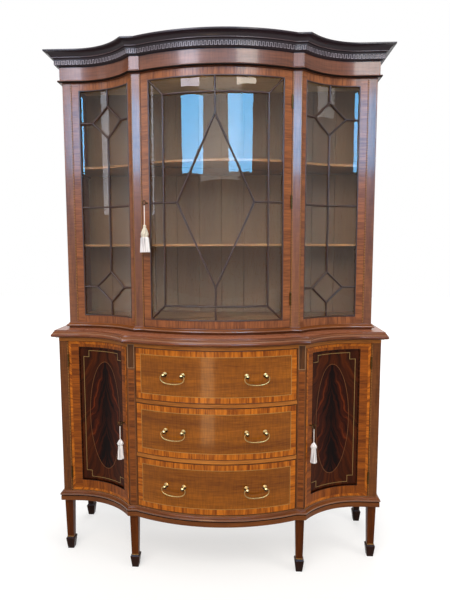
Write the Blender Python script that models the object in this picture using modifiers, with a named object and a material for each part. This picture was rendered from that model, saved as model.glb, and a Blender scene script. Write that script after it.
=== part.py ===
"""A serpentine-fronted display cabinet: a glazed upper case on a lower case of drawers and cupboards.

Metres, +Z up. The front faces -Y and the origin is on the floor under the middle of the cabinet.
Depths are measured forwards from the back, and widths outwards from the middle.
"""

import math

import bmesh
import bpy
from mathutils import Matrix, Vector

# Fits
TOUCH = 0.0003
DOOR_GAP = 0.0015
DRAWER_GAP = 0.0012
OVERRUN = 0.02

# Plan of the lower case
LOWER_HALF_WIDTH = 0.700
LOWER_SIDE_DEPTH = 0.335
LOWER_SWEEP_RISE = 0.123
LOWER_BOW_RISE = 0.072
LOWER_SWEEP_INSET = 0.080
OUTER_POST_WIDTH = 0.040
INNER_POST_WIDTH = 0.037
INNER_POST_INNER_EDGE = 0.334
POST_THICKNESS = 0.040

# Plan of the upper case, which stands in from the lower one
UPPER_SIDE_SETBACK = 0.031
UPPER_FRONT_SETBACK = 0.058
UPPER_SWEEP_RISE = 0.110
UPPER_BOW_RISE = 0.066
UPPER_SWEEP_INSET = 0.079
OUTER_PILASTER_WIDTH = 0.040
INNER_PILASTER_WIDTH = 0.040
INNER_PILASTER_SETBACK = 0.026
PILASTER_THICKNESS = 0.030

# Heights, from the floor up
LEG_HEIGHT = 0.240
BASE_MOULDING_HEIGHT = 0.045
BOTTOM_DRAWER_HEIGHT = 0.218
MIDDLE_DRAWER_HEIGHT = 0.2175
TOP_DRAWER_HEIGHT = 0.2175
DRAWER_RAIL_HEIGHT = 0.016
TOP_RAIL_HEIGHT = 0.016
SURBASE_HEIGHT = 0.034
UPPER_BASE_HEIGHT = 0.024
DISPLAY_FRONT_HEIGHT = 1.033
ASTRAGAL_HEIGHT = 0.0115
FRIEZE_HEIGHT = 0.0515
CORNICE_HEIGHT = 0.0585

# Legs and spade feet
LEG_TOP_WIDTH = 0.037
ANKLE_WIDTH = 0.029
SPADE_WIDTH = 0.040
SPADE_FOOT_WIDTH = 0.028
SPADE_HEIGHT = 0.050
SPADE_SHOULDER_HEIGHT = 0.007

# Boards
BOARD_THICKNESS = 0.018
BACK_THICKNESS = 0.012
BACK_BOARD_WIDTH = 0.105
BACK_GROOVE_WIDTH = 0.004
BACK_GROOVE_DEPTH = 0.003
SHELF_THICKNESS = 0.010
SHELF_SETBACK = 0.034
LOWER_SHELF_HEIGHT = 0.348
UPPER_SHELF_HEIGHT = 0.689
BEARER_SIZE = 0.012
RAIL_DEPTH = 0.050
APRON_THICKNESS = 0.022
FLOOR_THICKNESS = 0.020
RUNNER_WIDTH = 0.032

# Mouldings
SURBASE_OVERHANG = 0.026
SURBASE_TOP_OVERHANG = 0.012
SURBASE_FOOT_OVERHANG = 0.010
BASE_OVERHANG = 0.0135
UPPER_BASE_OVERHANG = 0.012
UPPER_BASE_DEPTH = 0.045
FRIEZE_OVERHANG = 0.008
FRIEZE_THICKNESS = 0.026
FRIEZE_BLOCK_PROUD = 0.004
ASTRAGAL_OVERHANG = 0.016
CORNICE_OVERHANG = 0.050
CORNICE_THICKNESS = 0.026
FRET_PITCH = 0.017
FRET_STROKE = 0.0034
FRET_THICKNESS = 0.004

# Glazed frames and their bars
FRAME_THICKNESS = 0.016
BAR_THICKNESS = 0.008
BAR_WIDTH = 0.008
REBATE_WIDTH = 0.005
GLASS_THICKNESS = 0.003
GLASS_EDGE_COVER = 0.004
BOTTOM_FRAME_RAIL = 0.034
TOP_FRAME_RAIL = 0.032
SIDE_OUTER_STILE = 0.032
SIDE_INNER_STILE = 0.018
DOOR_STILE_WIDTH = 0.033
SIDE_DIAMOND_OFFSET = 0.0095
SIDE_DIAMOND_WIDTH_SHARE = 0.623
SIDE_DIAMOND_HALF_HEIGHT = 0.066
UPPER_DIAMOND_INSET = 0.167
LOWER_DIAMOND_INSET = 0.161
MIDDLE_BAR_HEIGHT = 0.508
DOOR_RECTANGLE_SIDE_INSET = 0.063
DOOR_RECTANGLE_BOTTOM_INSET = 0.092
DOOR_RECTANGLE_TOP_INSET = 0.093
DOOR_DIAMOND_WIDTH_SHARE = 0.728
DOOR_DIAMOND_BOTTOM_INSET = 0.169
DOOR_DIAMOND_TOP_INSET = 0.174

# Cupboard doors
CUPBOARD_DOOR_THICKNESS = 0.020
CUPBOARD_PANEL_RECESS = 0.007
CUPBOARD_PANEL_THICKNESS = 0.006
CUPBOARD_REBATE_WIDTH = 0.010
CUPBOARD_OUTER_STILE = 0.050
CUPBOARD_INNER_STILE = 0.031
CUPBOARD_BOTTOM_RAIL = 0.052
CUPBOARD_TOP_RAIL = 0.029

# Drawers
DRAWER_FRONT_THICKNESS = 0.022
DRAWER_SIDE_THICKNESS = 0.011
DRAWER_BOTTOM_THICKNESS = 0.008
DRAWER_SIDE_CLEARANCE = 0.003
DRAWER_BOX_DROP = 0.030
DRAWER_BACK_CLEARANCE = 0.012

# Bail handles
HANDLE_CENTRE = 0.1655
HANDLE_SPACING = 0.077
HANDLE_RISE = 0.006
POMMEL_STANDOFF = 0.021
POMMEL_RADIUS = 0.0062
POMMEL_NECK_RADIUS = 0.0038
ROSE_RADIUS = 0.0095
ROSE_THICKNESS = 0.002
BAIL_RADIUS = 0.0021
BAIL_DROP = 0.0335

# Hinges
HINGE_RADIUS = 0.0035
HINGE_LENGTH = 0.054
KNUCKLES_A_HINGE = 3
HINGE_STANDOFF = 0.0042
KNUCKLE_GAP = 0.0005
CUPBOARD_HINGE_INSET = 0.085
DOOR_HINGE_INSET = 0.120

# Keys and tassels
KEY_SHANK_RADIUS = 0.0022
KEY_SHANK_LENGTH = 0.0155
KEY_COLLAR_RADIUS = 0.0036
KEY_COLLAR_LENGTH = 0.003
KEY_BOW_RADIUS = 0.0085
KEY_BOW_WIRE_RADIUS = 0.0019
KEY_HOLE_DEPTH = 0.010
KEY_HOLE_RADIUS = 0.0030
CUPBOARD_KEY_HEIGHT = 0.355
CUPBOARD_KEY_INSET = 0.017
DOOR_KEY_HEIGHT = 0.515
DOOR_KEY_INSET = 0.0235
CORD_RADIUS = 0.0016
DOOR_TASSEL_CORD = 0.072
CUPBOARD_TASSEL_CORD = 0.050
DOOR_TASSEL_LENGTH = 0.118
DOOR_TASSEL_RADIUS = 0.0215
CUPBOARD_TASSEL_LENGTH = 0.094
CUPBOARD_TASSEL_RADIUS = 0.0145

# Counts
SWEEP_STEPS = 6
BOW_STEPS = 10
TURNED_SIDES = 10
TUBE_SIDES = 6
ROSE_SIDES = 8
FLAT_ANGLE = 0.001

# Depths and widths worked out from the ones above
LOWER_POST_DEPTH = LOWER_SIDE_DEPTH + LOWER_SWEEP_RISE
LOWER_BOW_DEPTH = LOWER_POST_DEPTH + LOWER_BOW_RISE
UPPER_HALF_WIDTH = LOWER_HALF_WIDTH - UPPER_SIDE_SETBACK
UPPER_SIDE_DEPTH = LOWER_SIDE_DEPTH - UPPER_FRONT_SETBACK
UPPER_POST_DEPTH = UPPER_SIDE_DEPTH + UPPER_SWEEP_RISE
UPPER_BOW_DEPTH = UPPER_POST_DEPTH + UPPER_BOW_RISE
INNER_POST_OUTER_EDGE = INNER_POST_INNER_EDGE + INNER_POST_WIDTH
INNER_PILASTER_INNER_EDGE = INNER_POST_INNER_EDGE - INNER_PILASTER_SETBACK
INNER_PILASTER_OUTER_EDGE = INNER_PILASTER_INNER_EDGE + INNER_PILASTER_WIDTH
SIDE_WINDOW_OUTER_EDGE = UPPER_HALF_WIDTH - OUTER_PILASTER_WIDTH - SIDE_OUTER_STILE
SIDE_WINDOW_INNER_EDGE = INNER_PILASTER_OUTER_EDGE + SIDE_INNER_STILE
CUPBOARD_WINDOW_OUTER_EDGE = LOWER_HALF_WIDTH - OUTER_POST_WIDTH - CUPBOARD_OUTER_STILE
CUPBOARD_WINDOW_INNER_EDGE = INNER_POST_OUTER_EDGE + CUPBOARD_INNER_STILE
BACK_Y = (LOWER_BOW_DEPTH + SURBASE_OVERHANG) / 2

# Heights worked out from the ones above
BASE_TOP = LEG_HEIGHT + BASE_MOULDING_HEIGHT
FIRST_RAIL = BASE_TOP + BOTTOM_DRAWER_HEIGHT
SECOND_RAIL = FIRST_RAIL + DRAWER_RAIL_HEIGHT + MIDDLE_DRAWER_HEIGHT
TOP_RAIL = SECOND_RAIL + DRAWER_RAIL_HEIGHT + TOP_DRAWER_HEIGHT
LOWER_TOP = TOP_RAIL + TOP_RAIL_HEIGHT
SURBASE_TOP = LOWER_TOP + SURBASE_HEIGHT
DISPLAY_BOTTOM = SURBASE_TOP + UPPER_BASE_HEIGHT
DISPLAY_TOP = DISPLAY_BOTTOM + DISPLAY_FRONT_HEIGHT
FRIEZE_BOTTOM = DISPLAY_TOP + ASTRAGAL_HEIGHT
CORNICE_BOTTOM = FRIEZE_BOTTOM + FRIEZE_HEIGHT


def clear_scene():
    for obj in list(bpy.data.objects):
        bpy.data.objects.remove(obj, do_unlink=True)


def material(name, colour, roughness, metallic=0.0, transmission=0.0):
    """A Principled material with one plain finish."""
    made = bpy.data.materials.new(name)
    made.use_nodes = True
    shader = made.node_tree.nodes["Principled BSDF"]
    shader.inputs["Base Color"].default_value = (*colour, 1.0)
    shader.inputs["Roughness"].default_value = roughness
    shader.inputs["Metallic"].default_value = metallic
    shader.inputs["Transmission Weight"].default_value = transmission
    return made


def finish(bm, name, finish_material, parent=None):
    """Turns a closed bmesh into the named object, with its faces pointing out."""
    bmesh.ops.remove_doubles(bm, verts=bm.verts, dist=TOUCH / 100)
    bmesh.ops.recalc_face_normals(bm, faces=bm.faces)
    mesh = bpy.data.meshes.new(name)
    bm.to_mesh(mesh)
    bm.free()
    mesh.materials.append(finish_material)
    obj = bpy.data.objects.new(name, mesh)
    parts.objects.link(obj)
    if parent:
        hang(obj, parent)
    return obj


def hang(obj, parent):
    """Parents an object to an empty, with its place in the world kept."""
    obj.parent = parent
    obj.matrix_parent_inverse = parent.matrix_basis.inverted()


def pivot(name, place):
    """An empty on a moving body's axis."""
    empty = bpy.data.objects.new(name, None)
    empty.location = place
    empty.empty_display_size = HINGE_LENGTH
    parts.objects.link(empty)
    return empty


def boolean(bm, other, operation, solver="EXACT"):
    """The union or difference of two closed bmeshes."""
    objects = []
    for part in (bm, other):
        bmesh.ops.recalc_face_normals(part, faces=part.faces)
        mesh = bpy.data.meshes.new("operand")
        part.to_mesh(mesh)
        part.free()
        obj = bpy.data.objects.new("operand", mesh)
        bpy.context.scene.collection.objects.link(obj)
        objects.append(obj)
    body, tool = objects
    modifier = body.modifiers.new("Boolean", "BOOLEAN")
    modifier.operation = operation
    modifier.solver = solver
    modifier.object = tool
    graph = bpy.context.evaluated_depsgraph_get()
    result = bmesh.new()
    result.from_object(body, graph)
    for obj in objects:
        mesh = obj.data
        bpy.data.objects.remove(obj, do_unlink=True)
        bpy.data.meshes.remove(mesh)
    return result


def box(low, high):
    """A box between two corners."""
    bm = bmesh.new()
    bmesh.ops.create_cube(bm, size=1.0)
    low = Vector(low)
    high = Vector(high)
    for vert in bm.verts:
        vert.co = Vector(((a + b) / 2 + (b - a) * c for a, b, c in zip(low, high, vert.co)))
    return bm


def mesh_of(obj):
    """An object's evaluated mesh as a welded bmesh at its own place. The object is removed."""
    bpy.context.view_layer.update()
    graph = bpy.context.evaluated_depsgraph_get()
    mesh = bpy.data.meshes.new_from_object(obj.evaluated_get(graph))
    mesh.transform(obj.matrix_world)
    bm = bmesh.new()
    bm.from_mesh(mesh)
    bpy.data.meshes.remove(mesh)
    bpy.data.objects.remove(obj, do_unlink=True)
    bmesh.ops.remove_doubles(bm, verts=bm.verts, dist=TOUCH / 100)
    return bm


def prism(outline, bottom, top):
    """An upright prism on a plan outline, as a filled and extruded 2D curve."""
    curve = bpy.data.curves.new("outline", "CURVE")
    curve.dimensions = "2D"
    curve.fill_mode = "BOTH"
    curve.extrude = (top - bottom) / 2
    spline = curve.splines.new("POLY")
    spline.points.add(len(outline) - 1)
    spline.use_cyclic_u = True
    for point, (x, y) in zip(spline.points, outline):
        point.co = (x, y, 0, 1)
    obj = bpy.data.objects.new("outline", curve)
    obj.location.z = (bottom + top) / 2
    bpy.context.scene.collection.objects.link(obj)
    bm = mesh_of(obj)
    bmesh.ops.dissolve_limit(bm, angle_limit=FLAT_ANGLE, verts=bm.verts, edges=bm.edges)
    return bm


def stack(levels):
    """A solid through plan outlines with equal numbers of points, each at its own height."""
    bm = bmesh.new()
    rings = [[bm.verts.new((x, y, z)) for x, y in outline] for outline, z in levels]
    for low, high in zip(rings, rings[1:]):
        for i in range(len(low)):
            j = (i + 1) % len(low)
            bm.faces.new((low[i], low[j], high[j], high[i]))
    bm.faces.new(rings[0])
    bm.faces.new(rings[-1])
    return bm


def square(centre, width, depth):
    x, y = centre
    w, d = width / 2, depth / 2
    return [(x - w, y - d), (x + w, y - d), (x + w, y + d), (x - w, y + d)]


def rod(radius, start, end, sides=TURNED_SIDES, end_radius=None):
    """A round rod or taper between two points."""
    start, end = Vector(start), Vector(end)
    bm = bmesh.new()
    last = radius if end_radius is None else end_radius
    length = (end - start).length
    bmesh.ops.create_cone(bm, cap_ends=True, segments=sides, radius1=radius, radius2=last, depth=length)
    turn = (end - start).to_track_quat("Z", "Y").to_matrix().to_4x4()
    bmesh.ops.transform(bm, matrix=Matrix.Translation((start + end) / 2) @ turn, verts=bm.verts)
    return bm


def ball(radius, centre, sides=TURNED_SIDES):
    bm = bmesh.new()
    rings = 2 * math.ceil(sides / 4)
    bmesh.ops.create_uvsphere(bm, u_segments=sides, v_segments=rings, radius=radius)
    bmesh.ops.translate(bm, vec=Vector(centre), verts=bm.verts)
    return bm


class Face:
    """The serpentine front of one case, seen in plan.

    A flat outer part, a hollow sweep forwards to the inner post, the post's own flat front, and a bow
    between the two inner posts. Sides are 1 for right and -1 for left.
    """

    def __init__(self, half_width, sweep_start, post_outer, post_inner, side_depth, post_depth, bow_depth):
        self.half_width = half_width
        self.sweep_start = sweep_start
        self.post_outer = post_outer
        self.post_inner = post_inner
        self.side_y = BACK_Y - side_depth
        self.post_y = BACK_Y - post_depth
        self.bow_y = BACK_Y - bow_depth
        run = sweep_start - post_outer
        rise = post_depth - side_depth
        self.sweep_radius = (run * run + rise * rise) / (2 * rise)
        self.sweep_angle = math.asin(run / self.sweep_radius)
        sagitta = bow_depth - post_depth
        self.bow_radius = (post_inner * post_inner + sagitta * sagitta) / (2 * sagitta)
        self.bow_angle = math.asin(post_inner / self.bow_radius)

    def sweep_place(self, side, along, behind):
        """A point on the sweep's flat facets, at a length from its start and a depth behind the face.

        The length is negative on the flat outer part.
        """
        step = self.sweep_radius * self.sweep_angle / SWEEP_STEPS
        x, y = on_facet(self.round_sweep_place, along, behind, step)
        return side * x, y

    def round_sweep_place(self, along, behind):
        if along <= 0:
            return Vector((self.sweep_start - along, self.side_y + behind))
        angle = along / self.sweep_radius
        reach = self.sweep_radius + behind
        x = self.sweep_start - reach * math.sin(angle)
        y = self.side_y - self.sweep_radius + reach * math.cos(angle)
        return Vector((x, y))

    def sweep_along(self, x):
        """The arc length at which the sweep's face reaches a distance from the middle."""
        if x >= self.sweep_start:
            return self.sweep_start - x
        return self.sweep_radius * math.asin((self.sweep_start - x) / self.sweep_radius)

    def bow_place(self, along, behind):
        """A point on the bow's flat facets, at a length from the middle and a depth behind the face."""
        step = self.bow_radius * self.bow_angle / (BOW_STEPS // 2)
        return on_facet(self.round_bow_place, along, behind, step)

    def round_bow_place(self, along, behind):
        angle = along / self.bow_radius
        reach = self.bow_radius - behind
        return Vector((reach * math.sin(angle), self.bow_y + self.bow_radius - reach * math.cos(angle)))

    def bow_along(self, x):
        return self.bow_radius * math.asin(x / self.bow_radius)

    def right_half(self, outwards):
        """Mitred plan points from the middle to the right corner, moved outwards from the face."""
        bow = [self.bow_place(self.bow_radius * self.bow_angle * i / (BOW_STEPS // 2), 0)
               for i in range(BOW_STEPS // 2 + 1)]
        sweep_length = self.sweep_radius * self.sweep_angle
        sweep = [self.sweep_place(1, sweep_length * i / SWEEP_STEPS, 0) for i in range(SWEEP_STEPS, -1, -1)]
        corner = [(self.half_width, self.side_y)]
        mirrored = (-bow[1][0], bow[1][1])
        end = (self.half_width, BACK_Y)
        path = [mirrored] + bow + sweep + corner + [end]
        return mitred(path, outwards)[1:-1]

    def outline(self, outwards, back, sideways=None):
        """A closed plan outline: the offset front, straight returns and a straight back."""
        half = self.right_half(outwards)
        if sideways is not None:
            half = clip_beyond(half, sideways)
        left = [(-x, y) for x, y in reversed(half[1:])]
        x = half[-1][0]
        return [(-x, back)] + left + half + [(x, back)]


def on_facet(round_place, along, behind, step):
    """The point of a round face's flat facets, which meet at each step of its length."""
    i = math.floor(along / step)
    share = along / step - i
    return tuple(round_place(i * step, behind).lerp(round_place((i + 1) * step, behind), share))


def clip_beyond(points, limit):
    """The points up to a distance from the middle, with one new point on that limit."""
    kept = []
    for first, second in zip(points, points[1:]):
        kept.append(first)
        if second[0] > limit:
            share = (limit - first[0]) / (second[0] - first[0])
            kept.append((limit, first[1] + share * (second[1] - first[1])))
            return kept
    return kept + [points[-1]]


def mitred(path, outwards):
    """The path moved to its right by a distance, mitred at each corner."""
    moved = [path[0]]
    for before, here, after in zip(path, path[1:], path[2:]):
        first = (Vector(here) - Vector(before)).normalized()
        second = (Vector(after) - Vector(here)).normalized()
        normal = (Vector((first.y, -first.x)) + Vector((second.y, -second.x))).normalized()
        reach = outwards / normal.dot(Vector((first.y, -first.x)))
        moved.append((here[0] + normal.x * reach, here[1] + normal.y * reach))
    return moved + [path[-1]]


LOWER = Face(
    LOWER_HALF_WIDTH,
    LOWER_HALF_WIDTH - LOWER_SWEEP_INSET,
    INNER_POST_OUTER_EDGE,
    INNER_POST_INNER_EDGE,
    LOWER_SIDE_DEPTH,
    LOWER_POST_DEPTH,
    LOWER_BOW_DEPTH,
)
UPPER = Face(
    UPPER_HALF_WIDTH,
    UPPER_HALF_WIDTH - UPPER_SWEEP_INSET,
    INNER_PILASTER_OUTER_EDGE,
    INNER_PILASTER_INNER_EDGE,
    UPPER_SIDE_DEPTH,
    UPPER_POST_DEPTH,
    UPPER_BOW_DEPTH,
)


def band(face, profile, back=BACK_Y):
    """A moulding that runs round the front and both sides: the profile gives (outwards, height) corners."""
    bm = bmesh.new()
    columns = []
    for outwards, height in profile:
        half = face.right_half(outwards)
        points = [(-x, y) for x, y in reversed(half[1:])] + half
        reach = half[-1][0]
        points = [(-reach, back)] + points + [(reach, back)]
        columns.append([bm.verts.new((x, y, height)) for x, y in points])
    for low, high in zip(columns, columns[1:] + columns[:1]):
        for i in range(len(low) - 1):
            bm.faces.new((low[i], low[i + 1], high[i + 1], high[i]))
    bm.faces.new([column[0] for column in columns])
    bm.faces.new([column[-1] for column in reversed(columns)])
    return bm


def bend(bm, place, step, trims=()):
    """Wraps a flat piece, drawn as (along, behind, height), onto a curved face, then trims its ends.

    The piece is first cut across at each step, so that every piece in a bay has the same facets.
    A trim is (x, side): what lies beyond x on that side is cut off, and the end is closed.
    """
    low = min(vert.co.x for vert in bm.verts)
    high = max(vert.co.x for vert in bm.verts)
    for i in range(math.ceil(low / step), math.floor(high / step) + 1):
        geometry = bm.verts[:] + bm.edges[:] + bm.faces[:]
        bmesh.ops.bisect_plane(bm, geom=geometry, plane_co=(i * step, 0, 0), plane_no=(1, 0, 0))
    for vert in bm.verts:
        vert.co.x, vert.co.y = place(vert.co.x, vert.co.y)
    for x, side in trims:
        geometry = bm.verts[:] + bm.edges[:] + bm.faces[:]
        cut = bmesh.ops.bisect_plane(
            bm, geom=geometry, plane_co=(x, 0, 0), plane_no=(side, 0, 0), clear_outer=True
        )
        rim = [item for item in cut["geom_cut"] if isinstance(item, bmesh.types.BMEdge) and item.is_boundary]
        bmesh.ops.holes_fill(bm, edges=rim, sides=0)
    return bm


def bend_sweep(bm, face, side, trims=()):
    step = face.sweep_radius * face.sweep_angle / SWEEP_STEPS
    return bend(bm, lambda along, behind: face.sweep_place(side, along, behind), step, trims)


def bend_bow(bm, face, trims=()):
    step = face.bow_radius * face.bow_angle / (BOW_STEPS // 2)
    return bend(bm, face.bow_place, step, trims)


def bar(start, end, width, thickness):
    """A flat glazing bar between two (along, height) points, its front on the face."""
    start, end = Vector(start), Vector(end)
    run = end - start
    bm = box((-width / 2, 0, 0), (width / 2, thickness, run.length))
    turn = Matrix.Rotation(math.atan2(run.x, run.y), 4, "Y")
    place = Matrix.Translation((start.x, 0, start.y))
    bmesh.ops.transform(bm, matrix=place @ turn, verts=bm.verts)
    return bm


def glazed_frame(low, high, window_low, window_high, bars):
    """A flat frame with a rebated window and bars across it, as (along, behind, height)."""
    frame = box((low[0], 0, low[1]), (high[0], FRAME_THICKNESS, high[1]))
    window = box(
        (window_low[0], -OVERRUN, window_low[1]),
        (window_high[0], FRAME_THICKNESS + OVERRUN, window_high[1]),
    )
    frame = boolean(frame, window, "DIFFERENCE")
    rebate = box(
        (window_low[0] - REBATE_WIDTH, BAR_THICKNESS, window_low[1] - REBATE_WIDTH),
        (window_high[0] + REBATE_WIDTH, FRAME_THICKNESS + OVERRUN, window_high[1] + REBATE_WIDTH),
    )
    frame = boolean(frame, rebate, "DIFFERENCE")
    for start, end in bars:
        frame = boolean(frame, bar(start, end, BAR_WIDTH, BAR_THICKNESS), "UNION")
    bmesh.ops.dissolve_limit(frame, angle_limit=FLAT_ANGLE, verts=frame.verts, edges=frame.edges)
    return frame


def pane(window_low, window_high):
    """The flat glass behind a frame's bars, let into its rebate."""
    front = BAR_THICKNESS + TOUCH
    return box(
        (window_low[0] - GLASS_EDGE_COVER, front, window_low[1] - GLASS_EDGE_COVER),
        (window_high[0] + GLASS_EDGE_COVER, front + GLASS_THICKNESS, window_high[1] + GLASS_EDGE_COVER),
    )


def diamond(centre, half_width, half_height):
    """The four sides of a diamond, as bars that overrun at its corners."""
    x, z = centre
    corners = [(x, z + half_height), (x + half_width, z), (x, z - half_height), (x - half_width, z)]
    sides = []
    for first, second in zip(corners, corners[1:] + corners[:1]):
        run = (Vector(second) - Vector(first)).normalized() * BAR_WIDTH / 4
        sides.append((Vector(first) - run, Vector(second) + run))
    return sides, corners


def knuckles(x, y, heights, of_frame):
    """The hinge knuckles at some heights: the middle one of each is the door's, the outer ones the post's."""
    made = []
    length = HINGE_LENGTH / KNUCKLES_A_HINGE
    for height in heights:
        for i in range(KNUCKLES_A_HINGE):
            if (i % 2 == 1) != of_frame:
                continue
            low = height - HINGE_LENGTH / 2 + i * length + KNUCKLE_GAP / 2
            made.append(rod(HINGE_RADIUS, (x, y, low), (x, y, low + length - KNUCKLE_GAP), TUBE_SIDES))
    return made


def leaf(x, y, heights, of_frame, reach, depth):
    """The strips that join each knuckle to its own piece, reaching sideways and back into the wood."""
    made = []
    length = HINGE_LENGTH / KNUCKLES_A_HINGE
    for height in heights:
        for i in range(KNUCKLES_A_HINGE):
            if (i % 2 == 1) != of_frame:
                continue
            low = height - HINGE_LENGTH / 2 + i * length + KNUCKLE_GAP / 2
            corners = sorted((x, x + reach))
            made.append(box((corners[0], y, low), (corners[1], y + depth, low + length - KNUCKLE_GAP)))
    return made


def united(bm, others):
    for other in others:
        bm = boolean(bm, other, "UNION")
    return bm


def leg_levels(centre, post_width, post_depth, top):
    """Outlines of a post whose lower end tapers to a spade foot."""
    x, y = centre

    def level(width, height):
        return square(centre, width, width), height

    return [
        level(SPADE_FOOT_WIDTH, 0),
        level(SPADE_WIDTH, SPADE_HEIGHT),
        level(ANKLE_WIDTH, SPADE_HEIGHT + SPADE_SHOULDER_HEIGHT),
        level(LEG_TOP_WIDTH, LEG_HEIGHT - TOUCH),
        (square((x, y), post_width, post_depth), LEG_HEIGHT),
        (square((x, y), post_width, post_depth), top),
    ]


def lower_case():
    """Posts, boards, rails and mouldings of the lower case."""
    post_top = TOP_RAIL - TOUCH
    outer_x = LOWER_HALF_WIDTH - OUTER_POST_WIDTH / 2
    inner_x = INNER_POST_INNER_EDGE + INNER_POST_WIDTH / 2
    outer_y = LOWER.side_y + POST_THICKNESS / 2
    inner_y = LOWER.post_y + POST_THICKNESS / 2
    back_y = BACK_Y - POST_THICKNESS / 2
    board_front = LOWER.side_y + POST_THICKNESS + TOUCH
    board_back = BACK_Y - POST_THICKNESS - TOUCH
    board_top = LOWER_TOP - TOUCH
    hinge_x, hinge_y, hinge_heights = cupboard_hinge()
    for side, word in SIDES:
        post = stack(leg_levels((side * outer_x, outer_y), OUTER_POST_WIDTH, POST_THICKNESS, post_top))
        post = united(post, knuckles(side * hinge_x, hinge_y, hinge_heights, False))
        reach = side * HINGE_RADIUS
        post = united(post, leaf(side * (hinge_x + DOOR_GAP), hinge_y, hinge_heights, False, reach,
                                 HINGE_STANDOFF + HINGE_RADIUS))
        finish(post, "outer_post_" + word, mahogany)
        post = stack(leg_levels((side * inner_x, inner_y), INNER_POST_WIDTH, POST_THICKNESS, post_top))
        finish(post, "inner_post_" + word, mahogany)
        post = stack(leg_levels((side * outer_x, back_y), OUTER_POST_WIDTH, POST_THICKNESS, board_top))
        finish(post, "back_post_" + word, mahogany)
        inner, outer = sorted((side * (LOWER_HALF_WIDTH - BOARD_THICKNESS), side * LOWER_HALF_WIDTH))
        board = box((inner, board_front, LEG_HEIGHT), (outer, board_back, board_top))
        finish(board, "lower_side_" + word, mahogany)
        finish(partition(side), "partition_" + word, oak)
    back_edge = LOWER_HALF_WIDTH - OUTER_POST_WIDTH - TOUCH
    board = box((-back_edge, BACK_Y - BACK_THICKNESS, LEG_HEIGHT), (back_edge, BACK_Y, board_top))
    finish(board, "lower_back", pine)
    finish(lower_floor(), "lower_floor", oak)
    finish(top_rail(), "top_rail", mahogany)
    for word, low in (("lower", FIRST_RAIL), ("upper", SECOND_RAIL)):
        rail = rail_between_inner_posts(low, low + DRAWER_RAIL_HEIGHT)
        finish(rail, "drawer_rail_" + word, mahogany)
    finish(base_moulding(), "base_moulding", mahogany)
    finish(surbase(), "surbase_top", mahogany)


def partition(side):
    """The upright between a cupboard and the drawers, with the two upper pairs of drawer runners."""
    front = LOWER.post_y + POST_THICKNESS + TOUCH
    back = BACK_Y - BACK_THICKNESS - TOUCH
    near = INNER_POST_INNER_EDGE
    inner, outer = sorted((side * near, side * (near + BOARD_THICKNESS)))
    board = box((inner, front, BASE_TOP + TOUCH), (outer, back, LOWER_TOP - TOUCH))
    runner_front = LOWER.post_y + RAIL_DEPTH + TOUCH
    for low in (FIRST_RAIL, SECOND_RAIL):
        inner, outer = sorted((side * (near - RUNNER_WIDTH), side * (near + BOARD_THICKNESS / 2)))
        runner = box((inner, runner_front, low), (outer, back - TOUCH, low + DRAWER_RAIL_HEIGHT))
        board = boolean(board, runner, "UNION")
    return board


def lower_floor():
    """The floor of the cupboards and drawers, with an apron under each bay, notched round the posts."""
    sideways = LOWER_HALF_WIDTH - BOARD_THICKNESS - TOUCH
    outline = LOWER.outline(0, BACK_Y - BACK_THICKNESS - TOUCH, sideways)
    floor = prism(outline, BASE_TOP - FLOOR_THICKNESS, BASE_TOP)
    outer = LOWER_HALF_WIDTH - OUTER_POST_WIDTH - TOUCH
    inner = INNER_POST_INNER_EDGE - TOUCH
    inner_far = INNER_POST_OUTER_EDGE + TOUCH
    apron_top = BASE_TOP - FLOOR_THICKNESS / 2
    long = OVERRUN / 2
    reach = LOWER.bow_along(INNER_POST_INNER_EDGE) + long
    apron = box((-reach, TOUCH, LEG_HEIGHT), (reach, APRON_THICKNESS, apron_top))
    floor = boolean(floor, bend_bow(apron, LOWER), "UNION", "MANIFOLD")
    for side, _ in SIDES:
        first = LOWER.sweep_start - outer - long
        last = LOWER.sweep_radius * LOWER.sweep_angle + long
        apron = box((first, TOUCH, LEG_HEIGHT), (last, APRON_THICKNESS, apron_top))
        floor = boolean(floor, bend_sweep(apron, LOWER, side), "UNION", "MANIFOLD")
    depth = POST_THICKNESS + TOUCH
    low = LEG_HEIGHT - OVERRUN
    high = BASE_TOP + OVERRUN
    for side, _ in SIDES:
        for near, far, front, back in (
            (outer, LOWER_HALF_WIDTH + OVERRUN, LOWER.side_y - OVERRUN, LOWER.side_y + depth),
            (outer, LOWER_HALF_WIDTH + OVERRUN, BACK_Y - depth, BACK_Y + OVERRUN),
            (inner, inner_far, LOWER.post_y - OVERRUN, LOWER.post_y + depth),
        ):
            left, right = sorted((side * near, side * far))
            notch = box((left, front, low), (right, back, high))
            floor = boolean(floor, notch, "DIFFERENCE", "MANIFOLD")
    return floor


def top_rail():
    """The thin rail under the top, over the doors, the posts and the drawers."""
    front = LOWER.outline(0, BACK_Y)[1:-1]
    inner = LOWER.outline(-POST_THICKNESS, BACK_Y)[1:-1]
    inner[0] = (-LOWER_HALF_WIDTH, LOWER.side_y + POST_THICKNESS)
    inner[-1] = (LOWER_HALF_WIDTH, LOWER.side_y + POST_THICKNESS)
    return prism(front + inner[::-1], TOP_RAIL, LOWER_TOP - TOUCH)


def rail_between_inner_posts(low, high):
    """A bow-fronted rail under a drawer."""
    reach = LOWER.bow_along(INNER_POST_INNER_EDGE)
    rail = box((-reach, 0, low), (reach, RAIL_DEPTH + LOWER_BOW_RISE, high))
    limit = INNER_POST_INNER_EDGE - TOUCH
    rail = bend_bow(rail, LOWER, ((limit, 1), (-limit, -1)))
    behind = LOWER.post_y + RAIL_DEPTH
    cutter = box((-LOWER_HALF_WIDTH, behind, low - OVERRUN), (LOWER_HALF_WIDTH, BACK_Y, high + OVERRUN))
    return boolean(rail, cutter, "DIFFERENCE")


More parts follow.
